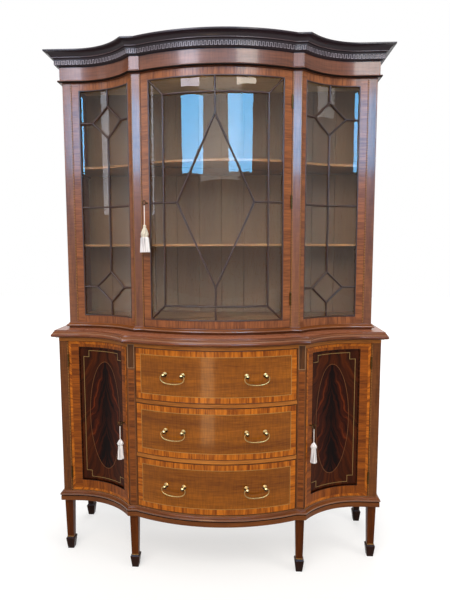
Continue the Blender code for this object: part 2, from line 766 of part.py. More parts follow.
def base_moulding():
    """The moulding planted round the foot of the case: a fascia, a half round and a hollow above."""
    back = TOUCH
    tip = BASE_OVERHANG
    low = LEG_HEIGHT
    tall = BASE_MOULDING_HEIGHT
    shares = (
        (0.70, 0.0), (0.80, 0.12), (0.80, 0.46), (1.0, 0.55), (0.96, 0.70), (0.58, 0.82), (0.30, 1.0),
    )
    corners = [(tip * out, low + tall * up) for out, up in shares]
    return band(LOWER, [(back, low)] + corners + [(back, low + tall)])


def surbase():
    """The lower case's top: a thumb moulding over a small hollow."""
    foot = SURBASE_FOOT_OVERHANG
    tip = SURBASE_OVERHANG
    top = SURBASE_TOP_OVERHANG
    levels = []
    for out_share, up_share in SURBASE_NOSE_SHARES:
        root = foot if up_share < 0.5 else top
        levels.append((root + (tip - root) * out_share, up_share))
    return stack([(LOWER.outline(out, BACK_Y), LOWER_TOP + SURBASE_HEIGHT * share) for out, share in levels])


# How far the thumb moulding stands out, from the top's upper or lower edge to its tip, and how high up
SURBASE_NOSE_SHARES = ((0.0, 0.0), (0.85, 0.18), (1.0, 0.42), (0.88, 0.66), (0.40, 0.88), (0.0, 1.0))


def upper_case():
    """Pilasters, boards, shelves and mouldings of the upper case."""
    low = DISPLAY_BOTTOM + TOUCH
    high = DISPLAY_TOP - TOUCH
    outer_low = UPPER_HALF_WIDTH - OUTER_PILASTER_WIDTH
    hinge_x, hinge_y, hinge_heights = display_hinge()
    for side, word in SIDES:
        left, right = sorted((side * outer_low, side * UPPER_HALF_WIDTH))
        pilaster = box((left, UPPER.side_y, low), (right, UPPER.side_y + PILASTER_THICKNESS, high))
        finish(pilaster, "outer_pilaster_" + word, mahogany)
        left, right = sorted((side * INNER_PILASTER_INNER_EDGE, side * INNER_PILASTER_OUTER_EDGE))
        pilaster = box((left, UPPER.post_y, low), (right, UPPER.post_y + PILASTER_THICKNESS, high))
        if side > 0:
            pilaster = united(pilaster, knuckles(hinge_x, hinge_y, hinge_heights, False))
            reach = HINGE_RADIUS
            pilaster = united(pilaster, leaf(hinge_x + DOOR_GAP, hinge_y, hinge_heights, False, reach,
                                             HINGE_STANDOFF + HINGE_RADIUS))
        finish(pilaster, "inner_pilaster_" + word, mahogany)
        finish(upper_side(side), "upper_side_" + word, mahogany)
    finish(upper_back(), "upper_back", pine)
    inside = UPPER_HALF_WIDTH - BOARD_THICKNESS - TOUCH
    board_back = BACK_Y - BACK_THICKNESS - TOUCH
    floor = prism(UPPER.outline(-SHELF_SETBACK, board_back, inside), low, low + BOARD_THICKNESS)
    finish(floor, "upper_floor", mahogany)
    top_edge = FRIEZE_THICKNESS - FRIEZE_OVERHANG + TOUCH
    lid_low = FRIEZE_BOTTOM + (FRIEZE_HEIGHT - BOARD_THICKNESS) / 2
    lid = prism(UPPER.outline(-top_edge, board_back), lid_low, lid_low + BOARD_THICKNESS)
    finish(lid, "upper_top", pine)
    for word, height in (("lower", LOWER_SHELF_HEIGHT), ("upper", UPPER_SHELF_HEIGHT)):
        top = DISPLAY_BOTTOM + height
        shelf = prism(UPPER.outline(-SHELF_SETBACK, board_back, inside), top - SHELF_THICKNESS, top)
        finish(shelf, "display_shelf_" + word, mahogany)
    finish(upper_base_moulding(), "upper_base_moulding", mahogany)
    finish(frieze(), "frieze", mahogany)
    finish(cornice(), "cornice", dark_mahogany)
    finish(cornice_fret(), "cornice_fret", dark_mahogany)


def upper_side(side):
    """An end of the upper case, with a bearer under each shelf."""
    front = UPPER.side_y + PILASTER_THICKNESS + TOUCH
    inner, outer = sorted((side * (UPPER_HALF_WIDTH - BOARD_THICKNESS), side * UPPER_HALF_WIDTH))
    board = box((inner, front, DISPLAY_BOTTOM + TOUCH), (outer, BACK_Y, DISPLAY_TOP - TOUCH))
    near = UPPER_HALF_WIDTH - BOARD_THICKNESS
    for height in (LOWER_SHELF_HEIGHT, UPPER_SHELF_HEIGHT):
        top = DISPLAY_BOTTOM + height - SHELF_THICKNESS - TOUCH
        inner, outer = sorted((side * (near - BEARER_SIZE), side * (near + BOARD_THICKNESS / 2)))
        bearer = box(
            (inner, front + BEARER_SIZE, top - BEARER_SIZE),
            (outer, BACK_Y - BACK_THICKNESS - TOUCH, top),
        )
        board = boolean(board, bearer, "UNION")
    return board


def upper_back():
    """The upper case's back: upright boards that show a groove at each joint."""
    edge = UPPER_HALF_WIDTH - BOARD_THICKNESS - TOUCH
    front = BACK_Y - BACK_THICKNESS
    count = max(2, round(2 * edge / BACK_BOARD_WIDTH))
    width = 2 * edge / count
    outline = [(-edge, BACK_Y), (-edge, front)]
    for i in range(1, count):
        x = -edge + i * width
        outline += [
            (x - BACK_GROOVE_WIDTH / 2, front),
            (x, front + BACK_GROOVE_DEPTH),
            (x + BACK_GROOVE_WIDTH / 2, front),
        ]
    outline += [(edge, front), (edge, BACK_Y)]
    return prism(outline, SURBASE_TOP + TOUCH, CORNICE_BOTTOM)


def upper_base_moulding():
    """The plinth that the upper case stands on, with a half round under the pilasters."""
    low = SURBASE_TOP + TOUCH
    tall = UPPER_BASE_HEIGHT - TOUCH
    shares = ((0.2, 0.0), (0.2, 0.28), (0.8, 0.34), (1.0, 0.48), (0.8, 0.66), (0.15, 1.0))
    corners = [(UPPER_BASE_OVERHANG * out, low + tall * up) for out, up in shares]
    back = -UPPER_BASE_DEPTH
    edge = BACK_Y - BACK_THICKNESS - TOUCH
    return band(UPPER, [(back, low)] + corners + [(back, low + tall)], edge)


def frieze():
    """The plain frieze with a block over each inner pilaster, and the dark astragal under it."""
    inner = FRIEZE_OVERHANG - FRIEZE_THICKNESS
    low = DISPLAY_TOP
    tip = ASTRAGAL_OVERHANG
    shares = ((0.55, 0.0), (0.95, 0.22), (1.0, 0.50), (0.90, 0.80))
    corners = [(tip * out, low + ASTRAGAL_HEIGHT * up) for out, up in shares]
    profile = [(inner, low)] + corners + [
        (FRIEZE_OVERHANG, FRIEZE_BOTTOM),
        (FRIEZE_OVERHANG, CORNICE_BOTTOM),
        (inner, CORNICE_BOTTOM),
    ]
    made = band(UPPER, profile)
    front = UPPER.post_y - FRIEZE_OVERHANG - FRIEZE_BLOCK_PROUD
    low = FRIEZE_BOTTOM - ASTRAGAL_HEIGHT / 2
    for side, _ in SIDES:
        left, right = sorted((side * INNER_PILASTER_INNER_EDGE, side * INNER_PILASTER_OUTER_EDGE))
        block = box((left, front, low), (right, UPPER.post_y, CORNICE_BOTTOM))
        made = boolean(made, block, "UNION")
    return made


CORNICE_SHARES = (
    (0.02, 0.0), (0.15, 0.10), (0.20, 0.20), (0.28, 0.21), (0.28, 0.50), (0.46, 0.53), (0.54, 0.62),
    (0.66, 0.76), (0.86, 0.86), (0.98, 0.89), (1.0, 1.0),
)
FRET_FACE_CORNERS = (3, 4)


def cornice_corners():
    low = CORNICE_BOTTOM + TOUCH
    tall = CORNICE_HEIGHT - TOUCH
    return [(FRIEZE_OVERHANG + CORNICE_OVERHANG * out, low + tall * up) for out, up in CORNICE_SHARES]


def cornice():
    """The cornice: a bed moulding, the flat that carries the fret, and a cyma under the top fillet."""
    corners = cornice_corners()
    inner = FRIEZE_OVERHANG - CORNICE_THICKNESS
    return band(UPPER, [(inner, corners[0][1])] + corners + [(inner, corners[-1][1])])


def cornice_fret():
    """The blind fret: one ribbon that runs up, along, down and along, planted on the cornice's flat.

    Its outline is drawn flat, cut across where the cornice turns, and wrapped on the serpentine line.
    """
    corners = cornice_corners()
    first, last = (corners[i] for i in FRET_FACE_CORNERS)
    low = first[1] + TOUCH
    high = last[1] - TOUCH
    line = FaceLine(UPPER, first[0] + TOUCH, FRET_THICKNESS)
    count = round(line.length / FRET_PITCH)
    pitch = line.length / count
    under = []
    over = []
    for i in range(count):
        rise = i * pitch
        fall = rise + pitch / 2
        after = rise + FRET_STROKE
        under += [(rise, low), (after, low), (after, high - FRET_STROKE)]
        under += [(fall, high - FRET_STROKE), (fall, low)]
        over += [(rise, low + FRET_STROKE), (rise, high), (fall + FRET_STROKE, high),
                 (fall + FRET_STROKE, low + FRET_STROKE)]
    under.append((line.length, low))
    over.append((line.length, low + FRET_STROKE))
    outline = under[1:] + over[:0:-1]
    bm = prism(outline, 0, FRET_THICKNESS)
    for vert in bm.verts:
        along, height, proud = vert.co
        vert.co = (along, proud, height)
    for along in line.starts[1:-1]:
        geometry = bm.verts[:] + bm.edges[:] + bm.faces[:]
        bmesh.ops.bisect_plane(bm, geom=geometry, plane_co=(along, 0, 0), plane_no=(1, 0, 0))
    for vert in bm.verts:
        vert.co.x, vert.co.y = line.place(vert.co.x, vert.co.y / FRET_THICKNESS)
    return bm


class FaceLine:
    """The whole serpentine front as one line with some thickness, for what repeats along it."""

    def __init__(self, face, outwards, thickness):
        self.inner = self.whole(face, outwards)
        self.outer = self.whole(face, outwards + thickness)
        self.starts = [0.0]
        for first, second in zip(self.inner, self.inner[1:]):
            self.starts.append(self.starts[-1] + (second - first).length)
        self.length = self.starts[-1]

    def whole(self, face, outwards):
        right = face.right_half(outwards)
        return [Vector((-x, y)) for x, y in reversed(right[1:])] + [Vector(point) for point in right]

    def place(self, along, proud_share):
        """The plan place at a length along the line, from its inner side (0) to its outer side (1)."""
        i = 0
        while i < len(self.starts) - 2 and self.starts[i + 1] < along - TOUCH / 100:
            i += 1
        share = (along - self.starts[i]) / (self.starts[i + 1] - self.starts[i])
        inner = self.inner[i].lerp(self.inner[i + 1], share)
        outer = self.outer[i].lerp(self.outer[i + 1], share)
        return inner.lerp(outer, proud_share)


SIDES = ((-1, "left"), (1, "right"))


def cupboard_hinge():
    """The cupboard doors' axis, as a distance from the middle, and the heights of its hinges."""
    x = LOWER_HALF_WIDTH - OUTER_POST_WIDTH - DOOR_GAP / 2
    heights = (BASE_TOP + CUPBOARD_HINGE_INSET, TOP_RAIL - CUPBOARD_HINGE_INSET)
    return x, LOWER.side_y - HINGE_STANDOFF, heights


def display_hinge():
    """The glazed door's axis, on its right-hand side, and the heights of its hinges."""
    x = INNER_PILASTER_INNER_EDGE - DOOR_GAP / 2
    middle = (DISPLAY_BOTTOM + DISPLAY_TOP) / 2
    heights = (DISPLAY_BOTTOM + DOOR_HINGE_INSET, middle, DISPLAY_TOP - DOOR_HINGE_INSET)
    return x, UPPER.post_y - HINGE_STANDOFF, heights


def side_windows():
    """The fixed curved frames beside the glazed door, and their glass."""
    low = DISPLAY_BOTTOM + TOUCH
    high = DISPLAY_TOP - TOUCH
    first = UPPER.sweep_start - (UPPER_HALF_WIDTH - OUTER_PILASTER_WIDTH - TOUCH)
    last = UPPER.sweep_radius * UPPER.sweep_angle + OVERRUN
    window_low = (UPPER.sweep_along(SIDE_WINDOW_OUTER_EDGE), DISPLAY_BOTTOM + BOTTOM_FRAME_RAIL)
    window_high = (UPPER.sweep_along(SIDE_WINDOW_INNER_EDGE), DISPLAY_TOP - TOP_FRAME_RAIL)
    window_middle = (SIDE_WINDOW_OUTER_EDGE + SIDE_WINDOW_INNER_EDGE) / 2
    middle = UPPER.sweep_along(window_middle - SIDE_DIAMOND_OFFSET)
    half = SIDE_DIAMOND_WIDTH_SHARE * (SIDE_WINDOW_OUTER_EDGE - SIDE_WINDOW_INNER_EDGE) / 2
    inset = REBATE_WIDTH
    bars = []
    ends = []
    for height in (DISPLAY_BOTTOM + LOWER_DIAMOND_INSET, DISPLAY_TOP - UPPER_DIAMOND_INSET):
        centre = (middle, height)
        sides, corners = diamond(centre, half, SIDE_DIAMOND_HALF_HEIGHT)
        bars += sides
        ends.append(corners)
        bars.append(((window_low[0] - inset, centre[1]), (corners[3][0], centre[1])))
        bars.append(((corners[1][0], centre[1]), (window_high[0] + inset, centre[1])))
    bars.append(((middle, window_low[1] - inset), (middle, ends[0][2][1])))
    bars.append(((middle, ends[0][0][1]), (middle, ends[1][2][1])))
    bars.append(((middle, ends[1][0][1]), (middle, window_high[1] + inset)))
    across = DISPLAY_BOTTOM + MIDDLE_BAR_HEIGHT
    bars.append(((window_low[0] - inset, across), (window_high[0] + inset, across)))
    limit = INNER_PILASTER_OUTER_EDGE + TOUCH
    for side, word in SIDES:
        frame = glazed_frame((first, low), (last, high), window_low, window_high, bars)
        frame = bend_sweep(frame, UPPER, side, ((side * limit, -side),))
        finish(frame, "side_frame_" + word, mahogany)
        glass = bend_sweep(pane(window_low, window_high), UPPER, side)
        finish(glass, "side_glass_" + word, clear_glass)


def glazed_door():
    """The bowed door: its frame with the glazing bars, and its bent glass."""
    hinge_x, hinge_y, hinge_heights = display_hinge()
    axis = pivot("glazed_door_pivot", (hinge_x, hinge_y, 0))
    low = DISPLAY_BOTTOM + DOOR_GAP
    high = DISPLAY_TOP - DOOR_GAP
    edge = INNER_PILASTER_INNER_EDGE - DOOR_GAP
    reach = UPPER.bow_along(edge) + OVERRUN / 2
    window = UPPER.bow_along(edge - DOOR_STILE_WIDTH)
    window_low = (-window, DISPLAY_BOTTOM + BOTTOM_FRAME_RAIL)
    window_high = (window, DISPLAY_TOP - TOP_FRAME_RAIL)
    inset = REBATE_WIDTH
    half = window - DOOR_RECTANGLE_SIDE_INSET
    bottom = DISPLAY_BOTTOM + DOOR_RECTANGLE_BOTTOM_INSET
    top = DISPLAY_TOP - DOOR_RECTANGLE_TOP_INSET
    overlap = BAR_WIDTH / 2
    bars = [
        ((-half, bottom - overlap), (-half, top + overlap)),
        ((half, bottom - overlap), (half, top + overlap)),
        ((-half, bottom), (half, bottom)),
        ((-half, top), (half, top)),
    ]
    for side in (-1, 1):
        bars.append(((side * (window + inset), window_low[1] - inset), (side * half, bottom)))
        bars.append(((side * half, top), (side * (window + inset), window_high[1] + inset)))
    diamond_low = DISPLAY_BOTTOM + DOOR_DIAMOND_BOTTOM_INSET
    diamond_high = DISPLAY_TOP - DOOR_DIAMOND_TOP_INSET
    across = (diamond_low + diamond_high) / 2
    half_height = (diamond_high - diamond_low) / 2
    sides, corners = diamond((0, across), half * DOOR_DIAMOND_WIDTH_SHARE, half_height)
    bars += sides
    bars.append(((-window - inset, across), (corners[3][0], across)))
    bars.append(((corners[1][0], across), (window + inset, across)))
    bars.append(((0, window_low[1] - inset), (0, diamond_low)))
    bars.append(((0, diamond_high), (0, window_high[1] + inset)))
    frame = glazed_frame((-reach, low), (reach, high), window_low, window_high, bars)
    frame = bend_bow(frame, UPPER, ((edge, 1), (-edge, -1)))
    frame = united(frame, knuckles(hinge_x, hinge_y, hinge_heights, True))
    frame = united(frame, leaf(hinge_x - DOOR_GAP, hinge_y, hinge_heights, True, -HINGE_RADIUS,
                               HINGE_STANDOFF + HINGE_RADIUS))
    along = DOOR_KEY_INSET - UPPER.bow_along(edge)
    height = DISPLAY_BOTTOM + DOOR_KEY_HEIGHT
    place = key_place(UPPER.bow_place(along, 0), UPPER.bow_place(along, 1), height)
    frame = key_hole(frame, place)
    finish(frame, "glazed_door_frame", mahogany, axis)
    glass = bend_bow(pane(window_low, window_high), UPPER)
    finish(glass, "glazed_door_glass", clear_glass, axis)
    key_and_tassel("glazed_door", place, axis, DOOR_TASSEL_CORD, DOOR_TASSEL_LENGTH, DOOR_TASSEL_RADIUS)


def cupboard_doors():
    """The two hollow-fronted doors, each a frame round a recessed panel."""
    hinge_x, hinge_y, hinge_heights = cupboard_hinge()
    low = BASE_TOP + DOOR_GAP
    high = TOP_RAIL - DOOR_GAP
    first = LOWER.sweep_start - (LOWER_HALF_WIDTH - OUTER_POST_WIDTH - DOOR_GAP)
    last = LOWER.sweep_radius * LOWER.sweep_angle + OVERRUN
    window_low = (LOWER.sweep_along(CUPBOARD_WINDOW_OUTER_EDGE), BASE_TOP + CUPBOARD_BOTTOM_RAIL)
    window_high = (LOWER.sweep_along(CUPBOARD_WINDOW_INNER_EDGE), TOP_RAIL - CUPBOARD_TOP_RAIL)
    limit = INNER_POST_OUTER_EDGE + DOOR_GAP
    cover = CUPBOARD_REBATE_WIDTH
    front = CUPBOARD_PANEL_RECESS
    for side, word in SIDES:
        axis = pivot("cupboard_pivot_" + word, (side * hinge_x, hinge_y, 0))
        frame = box((first, 0, low), (last, CUPBOARD_DOOR_THICKNESS, high))
        window = box(
            (window_low[0], -OVERRUN, window_low[1]),
            (window_high[0], CUPBOARD_DOOR_THICKNESS + OVERRUN, window_high[1]),
        )
        frame = boolean(frame, window, "DIFFERENCE")
        rebate = box(
            (window_low[0] - cover, front, window_low[1] - cover),
            (window_high[0] + cover, CUPBOARD_DOOR_THICKNESS + OVERRUN, window_high[1] + cover),
        )
        frame = boolean(frame, rebate, "DIFFERENCE")
        frame = bend_sweep(frame, LOWER, side, ((side * limit, -side),))
        frame = united(frame, knuckles(side * hinge_x, hinge_y, hinge_heights, True))
        reach = -side * HINGE_RADIUS
        frame = united(frame, leaf(side * (hinge_x - DOOR_GAP), hinge_y, hinge_heights, True, reach,
                                   HINGE_STANDOFF + HINGE_RADIUS))
        along = LOWER.sweep_along(CUPBOARD_WINDOW_INNER_EDGE) + CUPBOARD_KEY_INSET
        height = BASE_TOP + CUPBOARD_KEY_HEIGHT
        place = key_place(LOWER.sweep_place(side, along, 0), LOWER.sweep_place(side, along, 1), height)
        frame = key_hole(frame, place)
        finish(frame, "cupboard_door_frame_" + word, mahogany, axis)
        inset = cover - TOUCH
        panel = box(
            (window_low[0] - inset, front + TOUCH, window_low[1] - inset),
            (window_high[0] + inset, front + TOUCH + CUPBOARD_PANEL_THICKNESS, window_high[1] + inset),
        )
        finish(bend_sweep(panel, LOWER, side), "cupboard_panel_" + word, dark_mahogany, axis)
        key_and_tassel("cupboard_" + word, place, axis, CUPBOARD_TASSEL_CORD, CUPBOARD_TASSEL_LENGTH,
                       CUPBOARD_TASSEL_RADIUS)


def key_place(front, behind, height):
    """A keyhole's place on a curved face, and the direction that its key points out in."""
    out = (Vector(front) - Vector(behind)).normalized()
    return Vector((front[0], front[1], height)), Vector((out.x, out.y, 0))


def key_hole(bm, place):
    centre, out = place
    hole = rod(KEY_HOLE_RADIUS, centre - out * KEY_HOLE_DEPTH, centre + out * OVERRUN, TUBE_SIDES)
    return boolean(bm, hole, "DIFFERENCE")


def key_and_tassel(name, place, axis, cord, length, radius):
    """A key standing in its lock, and the tassel that hangs from its bow."""
    centre, out = place
    inner = centre - out * (KEY_HOLE_DEPTH - TOUCH)
    collar = centre + out * TOUCH * 2
    tip = centre + out * KEY_SHANK_LENGTH
    key = rod(KEY_SHANK_RADIUS, inner, tip, TUBE_SIDES)
    collar = rod(KEY_COLLAR_RADIUS, collar, collar + out * KEY_COLLAR_LENGTH, TUBE_SIDES)
    key = boolean(key, collar, "UNION")
    middle = tip + out * (KEY_BOW_RADIUS - KEY_BOW_WIRE_RADIUS)
    key = boolean(key, ring(middle, out, KEY_BOW_RADIUS, KEY_BOW_WIRE_RADIUS), "UNION")
    key_axis = pivot(name + "_key_pivot", centre)
    hang(key_axis, axis)
    bpy.context.view_layer.update()
    made = finish(key, name + "_key", brass)
    made.parent = key_axis
    made.matrix_parent_inverse = key_axis.matrix_world.inverted()
    reach = KEY_BOW_RADIUS + KEY_BOW_WIRE_RADIUS
    top = middle - Vector((0, 0, reach + TOUCH))
    head = top - Vector((0, 0, cord))
    body = rod(CORD_RADIUS, head - Vector((0, 0, CORD_RADIUS)), top, TUBE_SIDES)
    body = boolean(body, turned(TASSEL_SHARES, radius, length, head), "UNION")
    finish(body, name + "_tassel", cream_silk, axis)


TASSEL_SHARES = (
    (0.16, 0.0), (0.30, 0.05), (0.46, 0.16), (0.66, 0.30), (0.74, 0.40), (0.62, 0.46), (0.70, 0.50),
    (0.80, 0.62), (0.90, 0.80), (1.0, 1.0),
)


def turned(shares, radius, length, top):
    """A turned solid that hangs below a point: (share of radius, share of length) down its outer side."""
    places = [(0, 0)] + list(shares) + [(0, 1)]
    mesh = bpy.data.meshes.new("turned")
    corners = [(radius * out, 0, -length * down) for out, down in places]
    mesh.from_pydata(corners, [(i, i + 1) for i in range(len(corners) - 1)], [])
    obj = bpy.data.objects.new("turned", mesh)
    obj.location = top
    bpy.context.scene.collection.objects.link(obj)
    screw = obj.modifiers.new("Turning", "SCREW")
    screw.steps = TURNED_SIDES
    screw.render_steps = TURNED_SIDES
    screw.use_merge_vertices = True
    screw.merge_threshold = TOUCH / 10
    return mesh_of(obj)


def ring(centre, out, radius, wire):
    """A key's bow: a round ring that stands upright in the plane of its shank."""
    bpy.ops.mesh.primitive_torus_add(
        major_segments=TURNED_SIDES, minor_segments=TUBE_SIDES, major_radius=radius, minor_radius=wire
    )
    obj = bpy.context.object
    obj.location = centre
    obj.rotation_euler = out.cross(Vector((0, 0, 1))).to_track_quat("Z", "Y").to_euler()
    return mesh_of(obj)


def drawers():
    """Three bow-fronted drawers, each a front with two bail handles and a box behind it."""
    heights = (
        ("top", SECOND_RAIL + DRAWER_RAIL_HEIGHT, TOP_RAIL),
        ("middle", FIRST_RAIL + DRAWER_RAIL_HEIGHT, SECOND_RAIL),
        ("bottom", BASE_TOP, FIRST_RAIL),
    )
    for word, low, high in heights:
        axis = pivot("drawer_pivot_" + word, (0, LOWER.bow_y, (low + high) / 2))
        front_low = low + DRAWER_GAP
        front_high = high - DRAWER_GAP
        edge = INNER_POST_INNER_EDGE - DRAWER_GAP
        reach = LOWER.bow_along(edge) + OVERRUN / 2
        front = box((-reach, 0, front_low), (reach, DRAWER_FRONT_THICKNESS, front_high))
        front = bend_bow(front, LOWER, ((edge, 1), (-edge, -1)))
        height = (low + high) / 2 + HANDLE_RISE
        for side, side_word in SIDES:
            handle = Handle(side, height)
            front = united(front, handle.posts())
            bail_axis = pivot("bail_pivot_" + word + "_" + side_word, handle.centre)
            hang(bail_axis, axis)
            bpy.context.view_layer.update()
            bail = handle.bail("bail_" + word + "_" + side_word)
            bail.parent = bail_axis
            bail.matrix_parent_inverse = bail_axis.matrix_world.inverted()
        finish(front, "drawer_front_" + word, satinwood_banded, axis)
        finish(drawer_box(low, high), "drawer_box_" + word, oak, axis)


def drawer_box(low, high):
    """A drawer's sides, back and bottom: open on top, and shaped in front to fit the bowed front."""
    edge = INNER_POST_INNER_EDGE - DRAWER_SIDE_CLEARANCE
    behind = DRAWER_FRONT_THICKNESS + TOUCH
    back = BACK_Y - BACK_THICKNESS - DRAWER_BACK_CLEARANCE
    count = BOW_STEPS // 2
    length = LOWER.bow_radius * LOWER.bow_angle
    half = clip_beyond([LOWER.bow_place(length * i / count, behind) for i in range(count + 2)], edge)
    left = [(-x, y) for x, y in reversed(half[1:])]
    outline = [(-edge, back)] + left + half + [(edge, back)]
    body = prism(outline, low + TOUCH, high - DRAWER_BOX_DROP)
    inside = edge - DRAWER_SIDE_THICKNESS
    hollow = box(
        (-inside, LOWER.bow_y - OVERRUN, low + TOUCH + DRAWER_BOTTOM_THICKNESS),
        (inside, back - DRAWER_SIDE_THICKNESS, high),
    )
    return boolean(body, hollow, "DIFFERENCE")


class Handle:
    """A swan-neck bail between two ball pommels, on the bow of a drawer."""

    def __init__(self, side, height):
        along = LOWER.bow_along(HANDLE_CENTRE) * side
        face = Vector((*LOWER.bow_place(along, 0), height))
        behind = Vector((*LOWER.bow_place(along, 1), height))
        self.out = (face - behind).normalized()
        self.across = Vector((-self.out.y, self.out.x, 0))
        self.face = face
        self.centre = face + self.out * POMMEL_STANDOFF

    def posts(self):
        """The roses, necks and balls of both pommels, each reaching into the drawer front."""
        made = []
        for side in (-1, 1):
            root = self.face + self.across * side * HANDLE_SPACING / 2
            centre = root + self.out * POMMEL_STANDOFF
            bury = self.out * DRAWER_FRONT_THICKNESS / 2
            made.append(rod(ROSE_RADIUS, root - bury, root + self.out * ROSE_THICKNESS, ROSE_SIDES))
            made.append(rod(POMMEL_NECK_RADIUS, root - bury, centre, TUBE_SIDES))
            made.append(ball(POMMEL_RADIUS, centre, TUBE_SIDES))
        return made

    def bail(self, name):
        """The bail: out of one pommel, down in a swan neck, along the bottom and up again."""
        half = HANDLE_SPACING / 2 - POMMEL_RADIUS - TOUCH
        curve = bpy.data.curves.new(name, "CURVE")
        curve.dimensions = "3D"
        curve.bevel_depth = BAIL_RADIUS
        curve.bevel_resolution = 1
        curve.use_fill_caps = True
        spline = curve.splines.new("POLY")
        places = [(-out, down) for out, down in BAIL_SHARES] + list(BAIL_SHARES[-2::-1])
        spline.points.add(len(places) - 1)
        for point, (out, down) in zip(spline.points, places):
            place = self.centre + self.across * half * out - Vector((0, 0, BAIL_DROP * down))
            point.co = (*place, 1.0)
        obj = bpy.data.objects.new(name, curve)
        curve.materials.append(brass)
        parts.objects.link(obj)
        return obj


# From the pommel to the middle: (share of half the bail's opening, share of its drop)
BAIL_SHARES = (
    (1.0, 0.0), (0.91, 0.01), (1.0, 0.26), (1.34, 0.42),
    (1.42, 0.64), (1.16, 0.85), (0.62, 0.97), (0.0, 1.0),
)

clear_scene()
parts = bpy.data.collections.new("display_cabinet")
bpy.context.scene.collection.children.link(parts)
mahogany = material("mahogany", (0.23, 0.085, 0.03), 0.35)
dark_mahogany = material("dark mahogany", (0.06, 0.018, 0.012), 0.35)
satinwood_banded = material("banded mahogany", (0.30, 0.13, 0.04), 0.35)
oak = material("oak", (0.32, 0.20, 0.10), 0.6)
pine = material("stained pine", (0.16, 0.08, 0.04), 0.7)
brass = material("antique brass", (0.45, 0.32, 0.14), 0.35, metallic=1.0)
cream_silk = material("cream silk", (0.85, 0.80, 0.70), 0.8)
clear_glass = material("glass", (0.95, 0.97, 0.96), 0.02, transmission=1.0)

lower_case()
cupboard_doors()
drawers()
upper_case()
side_windows()
glazed_door()
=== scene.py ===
"""A serpentine display cabinet, dressed section by section in the order in which it is put together."""
import math

import bmesh
import bpy
import numpy as np
from mathutils import Matrix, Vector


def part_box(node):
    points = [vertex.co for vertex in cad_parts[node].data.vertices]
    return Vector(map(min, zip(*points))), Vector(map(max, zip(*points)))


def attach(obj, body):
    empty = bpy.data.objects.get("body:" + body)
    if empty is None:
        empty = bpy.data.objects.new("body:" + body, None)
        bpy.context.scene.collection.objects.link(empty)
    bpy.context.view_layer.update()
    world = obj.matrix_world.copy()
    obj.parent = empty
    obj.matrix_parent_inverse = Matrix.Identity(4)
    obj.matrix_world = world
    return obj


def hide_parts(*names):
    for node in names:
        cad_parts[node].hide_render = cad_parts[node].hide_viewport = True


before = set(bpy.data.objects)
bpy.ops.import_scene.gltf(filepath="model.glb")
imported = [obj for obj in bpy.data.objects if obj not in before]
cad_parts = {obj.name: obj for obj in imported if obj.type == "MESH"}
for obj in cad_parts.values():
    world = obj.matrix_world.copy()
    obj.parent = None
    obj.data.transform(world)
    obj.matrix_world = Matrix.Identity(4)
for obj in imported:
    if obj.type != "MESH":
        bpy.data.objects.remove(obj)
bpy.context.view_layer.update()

# The studio: a white floor and broad soft lamps round the cabinet, with the camera where the
# photographer stood, at eye height and a little right of the middle.
CAMERA_PLACE = (0.1386, -2.1983, 1.3715)
CAMERA_YAW = -0.0495
CAMERA_PITCH = -0.1017
CAMERA_ROLL = -0.0017
LENS_MM = 20.064
FILM_HEIGHT_MM = 24.0
FLOOR_HALF_WIDTH = 12.0
FLOOR_GLOW_NEAR = 0.58
FLOOR_GLOW_FAR = 0.88
FLOOR_NEAR_REACH = 0.8
FLOOR_FAR_REACH = 3.2
SKY_FILL = 0.50


def linear(code):
    """A linear colour from an sRGB hex code: each channel undoes the sRGB curve."""
    levels = [int(code[i:i + 2], 16) / 255 for i in (0, 2, 4)]
    return [x / 12.92 if x <= 0.04045 else ((x + 0.055) / 1.055) ** 2.4 for x in levels] + [1.0]


def add(tree, kind, inputs=(), **settings):
    """Adds a shader node with its settings. Each input takes a value, or a link from a socket.

    A numbered input is the node's socket in its own order, as on Math, Mix and MapRange.
    """
    made = tree.nodes.new("ShaderNode" + kind)
    for key, value in settings.items():
        setattr(made, key, value)
    for key, value in dict(inputs).items():
        if isinstance(value, bpy.types.NodeSocket):
            tree.links.new(value, made.inputs[key])
        else:
            made.inputs[key].default_value = value
    return made


def seen_directly(tree):
    """One where the eye, a mirror or glass looks, and nought for light that bounces off wood."""
    path = add(tree, "LightPath")
    mirror = add(tree, "Math", {0: path.outputs["Is Camera Ray"], 1: path.outputs["Is Glossy Ray"]},
                 operation="MAXIMUM")
    glass = add(tree, "Math", {0: mirror.outputs[0], 1: path.outputs["Is Transmission Ray"]},
                operation="MAXIMUM")
    return glass.outputs[0]


def new_material(name):
    """An empty node material and its tree, with its Principled shader joined to the output."""
    made = bpy.data.materials.new(name)
    made.use_nodes = True
    return made, made.node_tree, made.node_tree.nodes["Principled BSDF"]


world = bpy.data.worlds.new("white_studio")
bpy.context.scene.world = world
world.use_nodes = True
sky = world.node_tree.nodes["Background"]
sky.inputs["Color"].default_value = (1, 1, 1, 1)
sky_strength = add(world.node_tree, "MapRange", {0: seen_directly(world.node_tree), 3: SKY_FILL, 4: 1.0})
world.node_tree.links.new(sky_strength.outputs[0], sky.inputs["Strength"])

